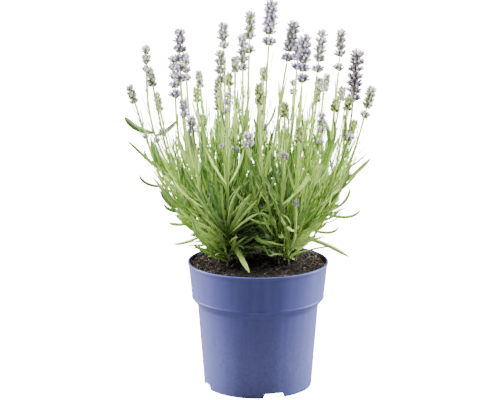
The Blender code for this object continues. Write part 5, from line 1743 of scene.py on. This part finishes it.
# Where a spike differs from its solid's rule: its kind, its size and how far up it each whorl sits
LOOKS = {
    ("left_front", 0): ("half", 0.8), ("left_front", 1): ("half", 0.8), ("left_front", 2): ("half", 0.6),
    ("left_side", 0): ("green", 0.78, (0.0, 0.4, 0.56, 0.9, 1.0)), ("left_side", 2): ("bloom", 0.98),
    ("left_back", 0): ("half", 0.9), ("left_inner", 2): ("green", 1.0, (0.08, 0.46, 0.65, 0.83, 1.0)),
    ("left_inner", 3): ("bloom", 0.95, (0.07, 0.34, 0.5, 0.69, 0.85, 1.0)),
    ("left_inner", 0): ("green", 0.95),
    ("back_left", 0): ("fresh", 1.0), ("back_left", 1): ("bud", 0.9, tuple(k / 7 for k in range(8))),
    ("back_left", 2): ("fresh", 1.0), ("back_middle", 0): ("half", 1.05, (0.08, 0.5, 0.72, 0.98)),
    ("back_middle", 2): ("bloom", 1.1, (0.05, 0.33, 0.5, 0.67, 0.84, 1.0)),
    ("back_middle", 3): ("small", 0.38, (0.0, 0.33, 0.66, 1.0)), ("back_right", 1): ("half", 0.8),
    ("right_front", 0): ("fresh", 0.95), ("right_front", 2): ("fresh", 1.0), ("right_low", 0): ("fresh", 1.0),
    ("right_low", 1): ("small", 0.32, (0.2, 1.0)), ("right_low", 2): ("half", 0.75, (0.1, 0.6, 1.0)),
    ("right_inner", 0): ("bloom", 1.06, (0.1, 0.34, 0.54, 0.68, 0.86, 1.0)),
    ("right_inner", 1): ("half", 1.04, (0.08, 0.38, 0.6, 0.82, 1.0)),
    ("right_outer", 0): ("fresh", 1.0), ("right_outer", 1): ("fresh", 1.0),
    ("right_outer", 2): ("dark", 1.12, (0.0, 0.17, 0.34, 0.5, 0.67, 0.84, 1.0)),
    ("right_side", 0): ("half", 0.96, (0.04, 0.45, 0.63, 0.81, 1.0)),
    ("right_side", 1): ("green", 0.96, (0.0, 0.4, 0.6, 0.8, 1.0)), ("right_side", 2): ("fresh", 1.0)}

# shape, florets, lean, spread, length, width, foot, rise, turn, share, finish (None is the kind's own calyx)
BUD_RINGS = (
    (bud_shape, 4, 0.75, 0.15, 4.9, 5.6, 0.8, 0.0, 0.0, 1.0, None),
    (bud_shape, 4, 0.6, 0.15, 4.7, 5.4, 0.7, 2.0, 0.79, 1.0, None))
BLOOM_RINGS = (
    (calyx_shape, 8, 1.15, 0.2, 5.7, 5.4, 1.6, 0.2, 0.0, 1.0, None),
    (calyx_shape, 7, 0.75, 0.2, 6.2, 5.4, 1.4, 0.9, 0.35, 1.0, None),
    (calyx_shape, 4, 0.3, 0.2, 5.8, 5.2, 0.7, 1.5, 0.1, 1.0, None),
    (corolla_shape, 8, 0.98, 0.3, 7.2, 2.9, 1.5, 0.7, 0.15, 0.35, corolla_finish),
    (corolla_shape, 4, 0.5, 0.3, 7.0, 2.8, 0.8, 1.3, 0.4, 0.35, corolla_finish),
    (bract_shape, 5, 1.0, 0.12, 4.2, 5.2, 0.8, -0.9, 0.4, 0.9, bract_finish))
HALF_RINGS = (
    (calyx_shape, 7, 1.0, 0.18, 5.6, 5.2, 1.2, 0.1, 0.0, 1.0, None),
    (calyx_shape, 6, 0.62, 0.16, 6.2, 5.2, 1.0, 0.8, 0.4, 1.0, None),
    (calyx_shape, 4, 0.24, 0.12, 5.9, 5.0, 0.5, 1.4, 0.1, 1.0, None),
    (bud_shape, 8, 0.82, 0.2, 6.8, 2.4, 1.0, 0.6, 0.1, 0.25, corolla_finish),
    (bract_shape, 4, 0.9, 0.12, 3.8, 5.0, 0.7, -0.8, 0.4, 0.9, bract_finish))
DARK_RINGS = (
    (calyx_shape, 9, 1.15, 0.2, 6.0, 5.2, 1.5, 0.2, 0.0, 1.0, None),
    (calyx_shape, 7, 0.8, 0.2, 6.4, 5.2, 1.3, 0.9, 0.35, 1.0, None),
    (calyx_shape, 5, 0.35, 0.2, 6.0, 5.0, 0.7, 1.5, 0.1, 1.0, None),
    (corolla_shape, 8, 0.9, 0.3, 7.2, 2.8, 1.2, 0.8, 0.15, 0.15, corolla_finish),
    (bract_shape, 4, 1.0, 0.12, 4.2, 5.0, 0.8, -0.9, 0.4, 0.9, bract_finish))
RINGS = {"fresh": BUD_RINGS, "bud": BUD_RINGS, "green": HALF_RINGS, "half": HALF_RINGS, "bloom": BLOOM_RINGS,
         "dark": DARK_RINGS, "small": DARK_RINGS}


def flower_parts(name, whorls, kind, seed):
    """The meshes of all the rings on some whorls."""
    guide = whorl_guide(name, whorls, random.Random(seed))
    for k, (shape, florets, lean, spread, length, width, foot, rise, turn, share,
            finish) in enumerate(RINGS[kind]):
        yield grown(f"{name}_{k}", guide.copy(), whorl_ring, {
            "Shape": shape, "Florets": florets, "Lean": lean, "Lean spread": spread, "Length": length * MM,
            "Width": width * MM, "Foot": foot * MM, "Rise": rise * MM, "Turn": turn, "Share": share,
            "Seed": seed + 10 * k, "Material": finish or calyx_finish[kind]})


def spike_core(name, foot, along, length):
    """The stalk, carried on up the middle of its spike."""
    middle = np.array([foot, foot + along * length * 0.5, foot + along * (length - 1.5)])
    guide = chains(name, [middle], {
        "half_width": [np.array([0.7, 0.6, 0.3]) * MM], "upper": [np.tile([0.3, -1.0, 0.1], (3, 1))],
        "tone": [np.full(3, 0.6)]})
    return grown(name, guide, sweep, {"Section": square, "Stations": 8, "Blade outline": 0.0,
                                      "Material": stalk_green})


seed = 100
for stem in stems:
    for index, (foot, along, length, stage) in enumerate(stem["spikes"]):
        name = f"{stem['name']}_{index + 1}"
        seed += 37
        kind, size, *places = LOOKS.get((stem["name"], index), (stage["name"], 1.0))
        whorls = list(whorls_of(foot, along, length, stage, size, places[0] if places else None))
        meshes = [spike_core(name + "_core", foot, along, length)]
        meshes += flower_parts(name, whorls, kind, seed)
        for late_kind, whorl in late_whorls_of(stem["name"], index):
            meshes += flower_parts(name + "_late", whorl, late_kind, seed + 7)
        piece = joined("flowers_" + name, meshes)
        piece.data.shade_smooth()
        piece.data.set_sharp_from_angle(angle=math.radians(60))
        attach(piece, "root")
        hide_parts("spike_" + name)
print("spikes:", sum(len(stem["spikes"]) for stem in stems), "faces on the last:", len(piece.data.polygons))

# %% [markdown]
# ## Clearing up and measuring
# The sections and floret shapes were only patterns, so they go. The finished box is kept by the solids' box.

for pattern in (blade, square, calyx_shape, bud_shape, corolla_shape, bract_shape):
    bpy.data.objects.remove(pattern)
sizes = {"cad": [list(corner) for corner in cad_box], "visual": [list(corner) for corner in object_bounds()]}
print("boxes in mm:",
      {key: [[round(x / MM, 1) for x in corner] for corner in box] for key, box in sizes.items()})
